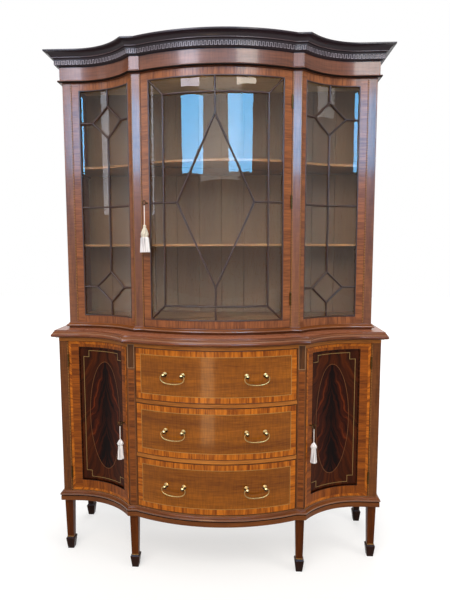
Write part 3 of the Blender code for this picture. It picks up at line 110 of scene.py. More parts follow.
# Matt white paint, with a glow that only the eye, polish and glass meet, stronger away from the cabinet
floor_white, floor_tree, floor_shader = new_material("white_floor")
floor_shader.inputs["Base Color"].default_value = linear("b0b0b0")
floor_shader.inputs["Roughness"].default_value = 0.9
floor_shader.inputs["Specular IOR Level"].default_value = 0.0
floor_shader.inputs["Emission Color"].default_value = (1, 1, 1, 1)
floor_place = add(floor_tree, "TexCoord")
floor_reach = add(floor_tree, "VectorMath", {0: floor_place.outputs["Object"]}, operation="LENGTH")
floor_level = add(floor_tree, "MapRange", {0: floor_reach.outputs["Value"], 1: FLOOR_NEAR_REACH,
                                           2: FLOOR_FAR_REACH, 3: FLOOR_GLOW_NEAR, 4: FLOOR_GLOW_FAR})
floor_glow = add(floor_tree, "Math", {0: seen_directly(floor_tree), 1: floor_level.outputs[0]},
                 operation="MULTIPLY")
floor_tree.links.new(floor_glow.outputs[0], floor_shader.inputs["Emission Strength"])
floor_mesh = bpy.data.meshes.new("studio_floor")
floor_corners = FLOOR_HALF_WIDTH * np.array([(-1, -1, 0), (1, -1, 0), (1, 1, 0), (-1, 1, 0)])
floor_mesh.from_pydata(floor_corners, [], [(0, 1, 2, 3)])
floor_mesh.materials.append(floor_white)
floor = bpy.data.objects.new("studio_floor", floor_mesh)
bpy.context.scene.collection.objects.link(floor)

# Each lamp: its name, its place, the point that it faces, its width, height, power in watts, colour, and
# whether it lights, is mirrored by polish and glass, or both. Those that are only mirrored stand for the
# sky through two windows, the pale wall over them, a window at the side, and light on the floor.
LAMPS = (
    ("left_window_box", (-1.30, -3.4, 2.58), (0.0, 0.0, 1.5), 1.05, 0.80, 84.0, "70c6ff", "mirrored"),
    ("right_window_box", (0.93, -3.4, 2.58), (0.0, 0.0, 1.5), 1.14, 0.80, 92.0, "70c6ff", "mirrored"),
    ("left_wall_box", (-1.41, -3.4, 3.38), (0.0, 0.0, 2.1), 0.92, 0.54, 27.0, "f6f0ff", "mirrored"),
    ("right_wall_box", (1.22, -3.4, 3.38), (0.0, 0.0, 2.1), 0.95, 0.54, 27.0, "fff4e4", "mirrored"),
    ("side_window_box", (-4.0, -2.6, 2.6), (-0.5, 0.0, 1.5), 0.90, 1.60, 24.0, "f0f4ff", "mirrored"),
    ("low_strip_box", (-0.24, -1.6, 0.40), (0.0, 0.0, 0.6), 0.26, 0.70, 5.5, "ffd49c", "mirrored"),
    ("front_fill_box", (0.0, -3.6, 2.7), (0.0, 0.0, 1.3), 2.0, 1.2, 44.0, "fff6ec", "lights"),
    ("high_key_box", (-1.0, -2.9, 4.3), (0.0, 0.0, 1.0), 2.6, 1.6, 100.0, "fff8f0", "both"),
    ("high_right_box", (3.2, -1.8, 3.5), (0.0, 0.0, 1.0), 1.6, 1.6, 50.0, "fff8f0", "lights"),
    ("high_back_box", (0.4, 3.4, 4.0), (0.0, 0.3, 1.0), 2.6, 1.2, 60.0, "ffffff", "both"),
    ("top_box", (0.0, -0.4, 4.8), (0.0, 0.0, 1.0), 3.0, 3.0, 36.0, "ffffff", "both"),
)


def aimed(place, target):
    """A turn that points an object's -Z at a target, with +Y up."""
    place = np.array(place)
    back = place - np.array(target)
    back = back / np.linalg.norm(back)
    right = np.cross((0, 0, 1), back)
    right = right / np.linalg.norm(right)
    turn = np.eye(4)
    turn[:3, 0] = right
    turn[:3, 1] = np.cross(back, right)
    turn[:3, 2] = back
    turn[:3, 3] = place
    return turn


for name, place, target, width, height, power, tint, use in LAMPS:
    lamp = bpy.data.lights.new(name, "AREA")
    lamp.shape = "RECTANGLE"
    lamp.size = width
    lamp.size_y = height
    lamp.energy = power
    lamp.color = linear(tint)[:3]
    lamp_object = bpy.data.objects.new(name, lamp)
    bpy.context.scene.collection.objects.link(lamp_object)
    lamp_object.matrix_world = Matrix(aimed(place, target))
    lamp_object.visible_camera = False
    lamp_object.visible_diffuse = use != "mirrored"
    lamp_object.visible_glossy = use != "lights"

forward = np.array((math.sin(CAMERA_YAW) * math.cos(CAMERA_PITCH),
                    math.cos(CAMERA_YAW) * math.cos(CAMERA_PITCH), math.sin(CAMERA_PITCH)))
level = np.array((math.cos(CAMERA_YAW), -math.sin(CAMERA_YAW), 0.0))
upright = np.cross(level, forward)
camera_turn = np.eye(4)
camera_turn[:3, 0] = level * math.cos(CAMERA_ROLL) + upright * math.sin(CAMERA_ROLL)
camera_turn[:3, 1] = upright * math.cos(CAMERA_ROLL) - level * math.sin(CAMERA_ROLL)
camera_turn[:3, 2] = -forward
camera_turn[:3, 3] = CAMERA_PLACE
film = bpy.data.cameras.new("photographer")
film.sensor_fit = "VERTICAL"
film.sensor_height = FILM_HEIGHT_MM
film.lens = LENS_MM
camera = bpy.data.objects.new("photographer", film)
bpy.context.scene.collection.objects.link(camera)
camera.matrix_world = Matrix(camera_turn)
bpy.context.scene.camera = camera
bpy.context.scene.view_settings.view_transform = "Standard"

# Posts and legs of the lower case: six straight posts of solid mahogany, each sawn in one piece with
# its square tapered leg and a spade foot. A boxwood line is let in above the spade on the four front legs,
# and the two back legs are coloured near black all over as painted shade.
LOWER_HALF_WIDTH = 0.700
OUTER_POST_WIDTH = 0.040
INNER_POST_WIDTH = 0.037
INNER_POST_EDGE = 0.334
POST_THICKNESS = 0.040
LOWER_SIDE_Y = -0.057
LOWER_POST_Y = -0.180
LEG_HEIGHT = 0.240
LEG_TOP_WIDTH = 0.037
ANKLE_WIDTH = 0.029
ANKLE_LINE_HEIGHT = 0.003
ANKLE_LINE_FLARE = 0.0004
SPADE_WIDTH = 0.040
SPADE_FOOT_WIDTH = 0.028
SPADE_HEIGHT = 0.050
SPADE_EDGE = 0.001
FOOT_EASE = 0.001
FOOT_EASE_HEIGHT = 0.0015
SHOULDER_HEIGHT = 0.007
SHOULDER_FLARE = 0.003
SHOULDER_FLARE_SHARE = 0.62
ARRIS_RADIUS = 0.0016
ARRIS_STEPS = 4
TOP_RAIL_BOTTOM = 0.970
BACK_Y = float(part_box("lower_back")[1][1])
LOWER_TOP = float(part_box("lower_side_left")[1][2])
SIDES = ((-1, "left"), (1, "right"))
# Faces that would lie on each other are kept this far apart
TOUCH = 0.0003
GRAIN_STRETCH = 0.07
TICK_STRETCH = 0.10
GRAIN_RELIEF = 0.0004
ROUGHNESS_SWING = 0.05
COAT_ROUGHNESS = 0.12
SHARP_ANGLE = 0.55
MERGE_DISTANCE = 2e-6
FLAT_DISTANCE = 1e-7
grain_draws = np.random.default_rng(11)


def wood(name, light, dark, along=None, streak_mm=5.0, broad_mm=45.0, contrast=0.6, ticks=0.0,
         tick_mm=5.0, roughness=0.34, shine=0.10, coat=0.05, streak_share=0.5):
    """Polished wood. Streaks run with the grain, broad figure lies under them, and ticks cross them.

    The grain runs along V on a piece with its own UV map in metres, and along the named axis of
    Object coordinates on a board. Real pores are 0.1 mm wide, so streaks a few mm wide stand for them.
    """
    made, tree, shader = new_material(name)
    places = add(tree, "TexCoord")
    source = places.outputs["Object"] if along else places.outputs["UV"]
    stretch = [1.0, 1.0, 1.0]
    stretch["xyz".index(along or "y")] = GRAIN_STRETCH
    long = add(tree, "Mapping", {"Vector": source, "Scale": stretch})
    broad = add(tree, "TexNoise", {"Vector": long.outputs[0], "Scale": 1000 / broad_mm, "Detail": 2.0,
                                   "Roughness": 0.5, "Distortion": 0.6})
    streaks = add(tree, "TexNoise", {"Vector": long.outputs[0], "Scale": 1000 / streak_mm, "Detail": 3.0,
                                     "Roughness": 0.65})
    mixed = add(tree, "Mix", {0: streak_share, 2: broad.outputs[0], 3: streaks.outputs[0]}, data_type="FLOAT")
    half_band = 0.5 / (1 + 4 * contrast)
    spread = add(tree, "MapRange", {0: mixed.outputs[0], 1: 0.5 - half_band, 2: 0.5 + half_band})
    colour = add(tree, "Mix", {0: spread.outputs[0], 6: linear(dark), 7: linear(light)}, data_type="RGBA")
    shown = colour.outputs[2]
    if ticks:
        short = add(tree, "Mapping", {"Vector": source, "Scale": (TICK_STRETCH, 1.0, TICK_STRETCH)})
        across = add(tree, "TexNoise", {"Vector": short.outputs[0], "Scale": 1000 / tick_mm, "Detail": 1.0})
        band = add(tree, "MapRange", {0: across.outputs[0], 1: 0.38, 2: 0.60, 3: 1.0 - ticks, 4: 1.0})
        shaded = add(tree, "Mix", {0: 1.0, 6: shown, 7: band.outputs[0]}, data_type="RGBA",
                     blend_type="MULTIPLY")
        shown = shaded.outputs[2]
    tree.links.new(shown, shader.inputs["Base Color"])
    rough = add(tree, "MapRange", {0: streaks.outputs[0], 1: 0.3, 2: 0.7, 3: roughness + ROUGHNESS_SWING,
                                   4: roughness - ROUGHNESS_SWING})
    tree.links.new(rough.outputs[0], shader.inputs["Roughness"])
    bump = add(tree, "Bump", {"Height": streaks.outputs[0], "Strength": 0.10, "Distance": GRAIN_RELIEF})
    tree.links.new(bump.outputs[0], shader.inputs["Normal"])
    shader.inputs["Specular IOR Level"].default_value = shine
    shader.inputs["IOR"].default_value = 1.5
    shader.inputs["Coat Weight"].default_value = coat
    shader.inputs["Coat Roughness"].default_value = COAT_ROUGHNESS
    return made


def solid(name, members, finishes, body, nodes=(), centred=False):
    """A mesh object from members, each a list of patches that close into one body.

    A patch is (points, grain, finish): a grid of points, a like grid of (across, along) the grain in
    metres, and a finish number for the patch, its rows or its cells. A patch of one row is one flat
    face. Edges merge where patches of a member meet. Each piece gets its own stretch of grain, unless
    its pattern is centred on it.
    """
    whole = bmesh.new()
    shift = grain_draws.uniform(0, 4, 2)
    mesh = bpy.data.meshes.new(name)
    for member in members:
        points, grain, faces, marks = [], [], [], []
        start = 0
        for grid, uv, finish in member:
            rows, columns = grid.shape[:2]
            corner = start + np.arange(rows * columns).reshape(rows, columns)
            if rows == 1:
                faces.append(corner[0].tolist())
                marks.append(np.array([finish]))
            else:
                cells = np.stack([corner[:-1, :-1], corner[:-1, 1:], corner[1:, 1:], corner[1:, :-1]], -1)
                faces.extend(cells.reshape(-1, 4).tolist())
                marks.append(np.broadcast_to(finish, (rows - 1, columns - 1)).ravel())
            points.append(grid.reshape(-1, 3))
            grain.append(uv.reshape(-1, 2))
            start += rows * columns
        part = bpy.data.meshes.new("member")
        part.from_pydata(np.concatenate(points), [], faces)
        corners = np.empty(len(part.loops), np.int32)
        part.loops.foreach_get("vertex_index", corners)
        layer = part.uv_layers.new(name="grain")
        places = np.concatenate(grain)[corners] + (0 if centred else shift)
        layer.data.foreach_set("uv", places.astype(np.float32).ravel())
        part.polygons.foreach_set("material_index", np.concatenate(marks).astype(np.int32))
        bm = bmesh.new()
        bm.from_mesh(part)
        bmesh.ops.remove_doubles(bm, verts=bm.verts, dist=MERGE_DISTANCE)
        bmesh.ops.dissolve_degenerate(bm, edges=bm.edges, dist=FLAT_DISTANCE)
        bmesh.ops.recalc_face_normals(bm, faces=bm.faces)
        bm.to_mesh(part)
        bm.free()
        whole.from_mesh(part)
        bpy.data.meshes.remove(part)
    whole.to_mesh(mesh)
    whole.free()
    mesh.shade_smooth()
    mesh.set_sharp_from_angle(angle=SHARP_ANGLE)
    for finish in finishes:
        mesh.materials.append(finish)
    obj = bpy.data.objects.new(name, mesh)
    bpy.context.scene.collection.objects.link(obj)
    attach(obj, body)
    if nodes:
        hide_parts(*nodes)
    return obj


def together(*sizes):
    """Points from separate coordinates, which are broadcast against each other."""
    return np.stack(np.broadcast_arrays(*sizes), -1)


def reach_along(points):
    """The length along a line from its start to each of its points."""
    return np.concatenate([[0], np.cumsum(np.linalg.norm(np.diff(points, axis=0), axis=1))])


def raised(outline, height):
    """A plan outline's points at a height."""
    return together(outline[:, 0], outline[:, 1], height)


def rounded(width, depth):
    """A rectangle's outline with round arrises: a quarter circle at each corner, back to its start.

    A point on the flat at both ends of each quarter keeps the flats flat under smooth shading. The
    other three corners are the first one, turned by quarter turns.
    """
    angles = np.linspace(0, math.pi / 2, ARRIS_STEPS)
    quarter = ARRIS_RADIUS * together(np.cos(angles), np.sin(angles))
    quarter = np.vstack([[(ARRIS_RADIUS, -ARRIS_RADIUS / 2)], quarter, [(-ARRIS_RADIUS / 2, ARRIS_RADIUS)]])
    centre = np.array((width / 2 - ARRIS_RADIUS, depth / 2 - ARRIS_RADIUS))
    quarter_turn = np.array([(0, 1), (-1, 0)])
    sign = np.array((1, 1))
    outline = []
    for _ in range(4):
        outline.append(quarter + centre * sign)
        quarter = quarter @ quarter_turn
        sign = sign @ quarter_turn
    outline = np.concatenate(outline)
    return np.vstack([outline, outline[:1]])


def loft(levels, centre, finishes=0):
    """A post through (width, depth, height) levels: each level's outline is a ring of the grid."""
    grid = np.array([raised(rounded(width, depth) + centre, height) for width, depth, height in levels])
    uv = together(reach_along(grid[-1])[None], grid[:, :, 2])
    caps = [(end[None, :-1], end[None, :-1, :2], 0) for end in (grid[0], grid[-1])]
    return [(grid, uv, finishes)] + caps


# Polished straight mahogany: a warm sheen over brown streaks, with short darker ticks across them
mahogany = wood("polished_mahogany", "77451f", "472510", streak_mm=6.0, ticks=0.15, tick_mm=6.0)
# The same wood on the legs, coloured redder and darker than the posts, and almost dull
leg_mahogany = wood("leg_mahogany", "63300c", "3e1b06", streak_mm=6.0, shine=0.05, coat=0.03)
# Mahogany stained nearly black, in which hardly any figure shows: the spade feet's own stain, and painted
# shade on the back legs, on the drawer fronts' edges and on the bead round each cupboard opening
black_stain_and_painted_shade = wood("stained_mahogany_and_painted_shade", "33190f", "1c0d07", streak_mm=5.0, shine=0.05, coat=0.03)
# Boxwood stringing: pale yellow and close-grained, without figure
boxwood = wood("boxwood_line", "b58a4a", "98703a", contrast=0.2, coat=0.05)
lined = [mahogany, black_stain_and_painted_shade, boxwood, leg_mahogany]
# The back posts' spade, line and leg are all near black as painted shade behind the case, with no boxwood
# line
plain = [mahogany, black_stain_and_painted_shade, black_stain_and_painted_shade, black_stain_and_painted_shade]
ankle = SPADE_HEIGHT + SHOULDER_HEIGHT
leg_levels = (
    (SPADE_FOOT_WIDTH - 2 * FOOT_EASE, 0.0),
    (SPADE_FOOT_WIDTH, FOOT_EASE_HEIGHT),
    (SPADE_WIDTH, SPADE_HEIGHT),
    (SPADE_WIDTH - SPADE_EDGE, SPADE_HEIGHT + SPADE_EDGE),
    (ANKLE_WIDTH + SHOULDER_FLARE, SPADE_HEIGHT + SHOULDER_HEIGHT * SHOULDER_FLARE_SHARE),
    (ANKLE_WIDTH, ankle),
    (ANKLE_WIDTH + ANKLE_LINE_FLARE, ankle + ANKLE_LINE_HEIGHT),
    (LEG_TOP_WIDTH, LEG_HEIGHT - TOUCH),
)
# Each row's finish from the floor up: the spade and its shoulder, the boxwood line, the leg, the post
post_rows = np.array((1, 1, 1, 1, 1, 2, 3, 0, 0))[:, None]
outer_x = LOWER_HALF_WIDTH - OUTER_POST_WIDTH / 2
inner_x = INNER_POST_EDGE + INNER_POST_WIDTH / 2
for side, word in SIDES:
    for kind, x, y, width, top, finishes in (
        ("outer_post", outer_x, LOWER_SIDE_Y + POST_THICKNESS / 2, OUTER_POST_WIDTH, TOP_RAIL_BOTTOM, lined),
        ("inner_post", inner_x, LOWER_POST_Y + POST_THICKNESS / 2, INNER_POST_WIDTH, TOP_RAIL_BOTTOM, lined),
        ("back_post", outer_x, BACK_Y - POST_THICKNESS / 2, OUTER_POST_WIDTH, LOWER_TOP, plain),
    ):
        levels = [(wide, wide, height) for wide, height in leg_levels]
        levels += [(width, POST_THICKNESS, LEG_HEIGHT), (width, POST_THICKNESS, top - TOUCH)]
        solid(kind + "_and_leg_" + word, [loft(levels, (side * x, y), post_rows)], finishes, "cabinet",
              [kind + "_" + word])

# Ends, partitions, back and floor of the lower case: flat boards. The ends are mahogany with upright
# grain, the partitions and the floor are drawer oak, and the back is stained pine.

# Upright-grained mahogany ends under a thin polish
side_mahogany = wood("upright_mahogany_board", "794321", "4f2911", along="z")


def planed_oak(name, along):
    """Drawer oak, planed and left without polish: pale brown, with weak figure and no gloss."""
    return wood(name, "b08d5c", "8a6a3e", along=along, contrast=0.4, coat=0.0, roughness=0.6)


oak_upright = planed_oak("planed_oak_upright", "z")
oak_wide = planed_oak("planed_oak_crosswise", "x")
# Pine boards under a thin brown stain: wide figure and hardly any gloss
pine = wood("stained_pine", "a5835a", "7f6040", along="z", broad_mm=60.0, contrast=0.3, shine=0.15,
            coat=0.0, roughness=0.5)


def dress(material, *nodes):
    """Gives solids of the frame another finish on all their faces."""
    for node in nodes:
        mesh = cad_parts[node].data
        mesh.materials.clear()
        mesh.materials.append(material)


dress(side_mahogany, "lower_side_left", "lower_side_right")
dress(oak_upright, "partition_left", "partition_right")
dress(oak_wide, "lower_floor")
dress(pine, "lower_back")

# The rail under the top and the two rails between the drawers: mahogany, shaped to the front and
# tenoned between the posts, with the grain lengthwise. They follow the plan of the front, as the
# mouldings, doors and drawers after them do.
RAIL_HEIGHT = 0.016
RAIL_DEPTH = 0.050
FIRST_RAIL = 0.503
SECOND_RAIL = 0.7365
BOARD_ARRIS = 0.001
LOWER_BOW_Y = -0.252
LOWER_SWEEP_START = 0.620
ROUND_STEPS = 24
BEND_STEP = 0.012


class Plan:
    """The front of a case seen from above, with what lays a flat pattern on it.

    It has a flat end, a hollow sweep forwards to the inner post, the post's own flat, and a bow between
    the posts. A point is laid from its length along the face, its height, and its rise off the face.
    The length starts at the outer end of the sweep, and in the middle of the bow.
    """

    def __init__(self, half_width, sweep_start, post_outer, post_inner, side_y, post_y, bow_y):
        self.half_width = half_width
        self.sweep_start = sweep_start
        self.post_outer = post_outer
        self.post_inner = post_inner
        self.side_y = side_y
        self.post_y = post_y
        self.bow_y = bow_y
        run = sweep_start - post_outer
        rise = side_y - post_y
        self.sweep_radius = (run * run + rise * rise) / (2 * rise)
        bulge = post_y - bow_y
        self.bow_radius = (post_inner * post_inner + bulge * bulge) / (2 * bulge)

    def on_sweep(self, side):
        """Lays on the hollow: an arc about a centre in front of it, mirrored for the side."""
        def lay(along, height, rise):
            angle = np.maximum(along, 0) / self.sweep_radius
            arm = self.sweep_radius - rise
            x = self.sweep_start - np.minimum(along, 0) - arm * np.sin(angle)
            y = self.side_y - self.sweep_radius + arm * np.cos(angle)
            return together(side * x, y, height)
        return lay

    def on_bow(self, along, height, rise):
        """Lays on the bow: an arc about a centre behind it."""
        angle = along / self.bow_radius
        arm = self.bow_radius + rise
        x = arm * np.sin(angle)
        y = self.bow_y + self.bow_radius - arm * np.cos(angle)
        return together(x, y, height)

    def sweep_along(self, x, rise=0.0):
        """The length along the sweep at which a layer of it reaches x."""
        if x >= self.sweep_start:
            return self.sweep_start - x
        return self.sweep_radius * math.asin((self.sweep_start - x) / (self.sweep_radius - rise))

    def bow_along(self, x, rise=0.0):
        """The length along the bow, from its middle, at which a layer of it reaches x."""
        return self.bow_radius * math.asin(x / (self.bow_radius + rise))

    def front_line(self, back=None):
        """Plan points of the whole front from left to right, with straight returns if back is given."""
        bow_end = self.bow_along(self.post_inner)
        bow = self.on_bow(np.linspace(0, bow_end, ROUND_STEPS), 0, 0)[:, :2]
        sweep_end = self.sweep_along(self.post_outer)
        sweep = self.on_sweep(1)(np.linspace(sweep_end, 0, ROUND_STEPS), 0, 0)[:, :2]
        half = np.vstack([bow, sweep, [(self.half_width, self.side_y)]])
        if back is not None:
            half = np.vstack([half, [(self.half_width, back)]])
        mirrored = half[:0:-1] * (-1, 1)
        return np.vstack([mirrored, half])


LOWER = Plan(LOWER_HALF_WIDTH, LOWER_SWEEP_START, INNER_POST_EDGE + INNER_POST_WIDTH, INNER_POST_EDGE,
             LOWER_SIDE_Y, LOWER_POST_Y, LOWER_BOW_Y)


def in_plan(x, y, height):
    """Lays a plan path: its own two numbers are x and y, and the section's second size is the height."""
    return together(x, y, height)


def mitres(path, closed):
    """For each point of a path, the vector that a unit to its right side becomes: the two runs' right
    sides added up, over one plus their dot product, so that offset runs meet in a mitre."""
    if closed:
        runs = np.roll(path, -1, axis=0) - path
    else:
        runs = np.diff(path, axis=0)
    runs = runs / np.linalg.norm(runs, axis=1)[:, None]
    rights = np.stack([runs[:, 1], -runs[:, 0]], -1)
    if closed:
        before, after = np.roll(rights, 1, axis=0), rights
    else:
        before, after = np.vstack([rights[:1], rights]), np.vstack([rights, rights[-1:]])
    return (before + after) / (1 + np.sum(before * after, axis=1))[:, None]


def cuts(first, second, step=BEND_STEP):
    """Evenly spaced values from first to second, no further apart than the step."""
    return np.linspace(first, second, max(2, math.ceil(abs(second - first) / step) + 1))


def end_caps(grid, uv):
    """The two flat ends of a grid whose rows are closed rings."""
    return [(grid[i][None, :-1], uv[i][None, :-1], 0) for i in (0, -1)]


def carry(path, section, lay, closed=False, across=False, step=0.02, finish=0):
    """A closed section carried along a path, mitred at its corners.

    A point is the path's place plus the section's first size times the mitre, laid with the section's
    second size as its rise. The grain runs along the path, or across it where that is asked for.
    """
    path = np.asarray(path, float)
    section = np.asarray(section, float)
    corners = mitres(path, closed)
    if closed:
        path = np.vstack([path, path[:1]])
        corners = np.vstack([corners, corners[:1]])
    reach = reach_along(path)
    stops = np.unique(np.concatenate([cuts(a, b, step) for a, b in zip(reach, reach[1:])]))
    table = np.column_stack([path, corners])
    x, y, a, b = (np.interp(stops, reach, column)[:, None] for column in table.T)
    ring = np.vstack([section, section[:1]])
    outwards = ring[None, :, 0]
    p = x + a * outwards
    q = y + b * outwards
    grid = lay(p, q, np.broadcast_to(ring[None, :, 1], p.shape))
    girth = reach_along(ring)
    uv = together(stops[:, None], girth[None]) if across else together(girth[None], stops[:, None])
    patches = [(grid, uv, finish)]
    if not closed:
        patches += end_caps(grid, uv)
    return patches


def board(outline, low, high):
    """A flat board on a plan outline: an upright wall with a small chamfer, a top and an underside."""
    outline = np.asarray(outline, float)
    inward = mitres(outline, True)
    levels = ((-BOARD_ARRIS, low), (0, low + BOARD_ARRIS), (0, high - BOARD_ARRIS), (-BOARD_ARRIS, high))
    grid = np.array([raised(outline + inward * offset, height) for offset, height in levels])
    closed = np.concatenate([grid, grid[:, :1]], axis=1)
    uv = together(closed[:, :, 2], reach_along(closed[1])[None])
    caps = [(end[None], end[None, :, [1, 0]], 0) for end in (grid[0], grid[-1])]
    return [(closed, uv, 0)] + caps


# Golden lengthwise mahogany, paler than the posts: partly its own colour, partly a painted highlight
rail_mahogany = wood("lengthwise_mahogany_rail", "bc7530", "854d1c", streak_mm=5.0)
section = [(0, TOP_RAIL_BOTTOM), (0, LOWER_TOP), (-POST_THICKNESS, LOWER_TOP),
           (-POST_THICKNESS, TOP_RAIL_BOTTOM)]
solid("rail_under_top", [carry(LOWER.front_line(), section, in_plan)], [rail_mahogany], "cabinet",
      ["top_rail"])
for word, low in (("lower", FIRST_RAIL), ("upper", SECOND_RAIL)):
    end = LOWER.bow_along(INNER_POST_EDGE - TOUCH)
    front = LOWER.on_bow(np.linspace(-end, end, 2 * ROUND_STEPS), 0, 0)[:, :2]
    back = LOWER_POST_Y + RAIL_DEPTH
    outline = np.vstack([front, [(front[-1, 0], back), (front[0, 0], back)]])
    solid("rail_between_drawers_" + word, [board(outline, low, low + RAIL_HEIGHT)], [rail_mahogany],
          "cabinet", ["drawer_rail_" + word])

# The base moulding: a flat fascia under a groove, a half round and a small hollow, run in mahogany and
# planted round the foot of the case, mitred at each break of the front. The groove is coloured black as
# painted shade, and the half round and the top edge are glossier, with a lighter colour as a painted
# highlight.
BASE_MOULDING_HEIGHT = 0.045
BASE_OVERHANG = 0.0135
BASE_TOP = LEG_HEIGHT + BASE_MOULDING_HEIGHT
# Planed and polished moulding, with the same sheen as the posts
base_mahogany = wood("run_mahogany_moulding", "7c451b", "4f280e", streak_mm=6.0, shine=0.10, coat=0.06)
# The noses and edges: a glossier polish, and a lighter colour that is a painted highlight on them
polished_nose_painted_highlight = wood("glossy_nose_painted_highlight", "845129", "5d3317", streak_mm=6.0, shine=0.35, coat=0.5,
                     roughness=0.26)
# Black without grain, as painted shade: in the base moulding's groove and under the astragal
black_painted_shade = wood("black_painted_shade_line", "1d100a", "100805", contrast=0.2, shine=0.05, coat=0.03)


def through(points, steps=6):
    """A smooth curve through points: on each stretch, the Catmull-Rom cubic of its four nearest points."""
    p = np.asarray(points, float)
    p = np.vstack([2 * p[0] - p[1], p, 2 * p[-1] - p[-2]])
    t = np.linspace(0, 1, steps, endpoint=False)[:, None, None]
    a, b, c, d = p[:-3], p[1:-2], p[2:-1], p[3:]
    curve = 0.5 * (2 * b + (c - a) * t + (2 * a - 5 * b + 4 * c - d) * t ** 2
                   + (3 * b - a - 3 * c + d) * t ** 3)
    return np.vstack([curve.transpose(1, 0, 2).reshape(-1, p.shape[1]), p[-2]])


def row_finishes(section, *bands, behind=2):
    """A finish number for each row of a section: a band's own, where the row starts in its heights.

    A band is its lower height, its upper height and its number. The rows behind the face are plain.
    """
    heights = section[:, 1]
    numbers = np.zeros(len(section) + behind, int)
    for low, high, number in bands:
        numbers[np.flatnonzero((heights >= low) & (heights < high))] = number
    return numbers


# Shares of the overhang and of the height: the fascia and its groove, the half round, the hollow
base_shares = np.vstack([
    [(0.70, 0.0), (0.78, 0.03), (0.80, 0.07), (0.80, 0.47), (0.58, 0.50), (0.58, 0.54)],
    through([(0.80, 0.545), (0.98, 0.60), (1.0, 0.68), (0.88, 0.77), (0.60, 0.80)]),
    through([(0.56, 0.83), (0.36, 0.90), (0.30, 1.0)]),
])
base_section = base_shares * (BASE_OVERHANG, BASE_MOULDING_HEIGHT) + (0, LEG_HEIGHT)
base_section = np.vstack([base_section, [(TOUCH, BASE_TOP), (TOUCH, LEG_HEIGHT)]])
base_finish = row_finishes(base_shares, (0.46, 0.542, 1), (0.57, 0.72, 2), (0.96, 1.01, 2))
solid("base_moulding_run", [carry(LOWER.front_line(BACK_Y), base_section, in_plan,
                                  finish=base_finish[None])],
      [base_mahogany, black_painted_shade, polished_nose_painted_highlight], "cabinet", ["base_moulding"])

# The lower case's top: a mahogany board with a thumb moulding worked on its front and ends, laid on the
# posts and the ends. The shoulders of the moulding are glossier and painted lighter as a highlight, and
# the flat is painted pale pink as the reflection that it shows at a low angle.
SURBASE_HEIGHT = 0.034
SURBASE_NOSE = 0.026
SURBASE_FOOT = 0.010
SURBASE_EDGE = 0.012
# Polished mahogany with a soft gloss, for the worked edge
top_mahogany = wood("polished_mahogany_top", "7a411f", "482410", streak_mm=6.0, shine=0.12, coat=0.10,
                    roughness=0.28)
# Mahogany painted pink and pale as the flat's reflection, with a low sheen
top_flat_painted_reflection = wood("mahogany_flat_painted_reflection", "a8694b", "7c4a33", streak_mm=6.0, shine=0.15, coat=0.25,
                roughness=0.28)


def moulded_board(plan, profile, back, finish, top_finish):
    """A board whose front and ends follow a plan, with (outwards, height) levels worked on its edge.

    Each level is the plan's line moved outwards by its mitres, and straight sideways at the back.
    """
    line = plan.front_line(back)
    vectors = mitres(line, False)
    vectors[0] = (-1, 0)
    vectors[-1] = (1, 0)
    ring = line[None] + vectors[None] * profile[:, None, :1]
    grid = together(ring[:, :, 0], ring[:, :, 1], profile[:, 1:2])
    grid = np.concatenate([grid, grid[:, :1]], axis=1)
    uv = together(reach_along(profile)[:, None], reach_along(grid[0])[None])
    caps = [(end[None, :-1], end[None, :-1, [1, 0]], look)
            for end, look in ((grid[0], 0), (grid[-1], top_finish))]
    return [(grid, uv, finish)] + caps


# (outwards, height) in metres: the foot, the thumb, a fillet and a small cove under the edge
surbase_levels = np.vstack([
    [(SURBASE_FOOT, TOUCH), (SURBASE_FOOT, 0.0026)],
    through([(0.0175, 0.0032), (0.0230, 0.0052), (SURBASE_NOSE, 0.0088), (0.0256, 0.0128), (0.0236, 0.0172),
             (0.0204, 0.0210)]),
    [(0.0188, 0.0222), (0.0186, 0.0252)],
    through([(0.0170, 0.0262), (0.0150, 0.0285), (0.0135, 0.0320)]),
    [(SURBASE_EDGE, SURBASE_HEIGHT)],
])
surbase_levels[:, 0] = np.minimum(surbase_levels[:, 0], SURBASE_NOSE)
surbase_finish = row_finishes(surbase_levels, (0.0170, 0.0220, 1), (0.0250, 0.0268, 1), behind=0)
surbase_finish = surbase_finish[:-1, None]
solid("moulded_top", [moulded_board(LOWER, surbase_levels + (0, LOWER_TOP), BACK_Y, surbase_finish, 2)],
      [top_mahogany, polished_nose_painted_highlight, top_flat_painted_reflection], "cabinet", ["surbase_top"])

# Cupboard doors: a hollow frame of two stiles and two rails, veneered across in golden mahogany, round
# a recessed panel of dark flame veneer with boxwood lines and an oval let into it.
DOOR_GAP = 0.0015
CUPBOARD_THICKNESS = 0.020
PANEL_RECESS = 0.007
PANEL_THICKNESS = 0.006
PANEL_FACE_DEPTH = PANEL_RECESS + TOUCH
OUTER_STILE = 0.050
INNER_STILE = 0.031
BOTTOM_RAIL = 0.052
TOP_RAIL = 0.029
REBATE = 0.010
TENON = 0.004
LINE_PROUD = 0.00015
LINE_LET_IN = 0.0004
DOOR_EDGE_BAND = 0.011
EDGE_BAND_INSET = 0.0006
PANEL_STEP_ACROSS = 0.010
PANEL_STEP_UP = 0.020
FLAME_BENDS_PER_M = 11.0
FLAME_BANDS_PER_M = 22.0

# Golden veneer laid across each stile and rail, so that its dark stripes cross them
door_veneer = wood("crossbanded_door_veneer", "924c0f", "602d06", streak_mm=7.0, broad_mm=30.0, contrast=0.9,
                   streak_share=0.7)
# Crossbanding of a paler wood: orange, with strong stripes
orange_band = wood("satin_crossbanding", "c26e1b", "76380b", streak_mm=7.0, broad_mm=18.0, contrast=1.0)


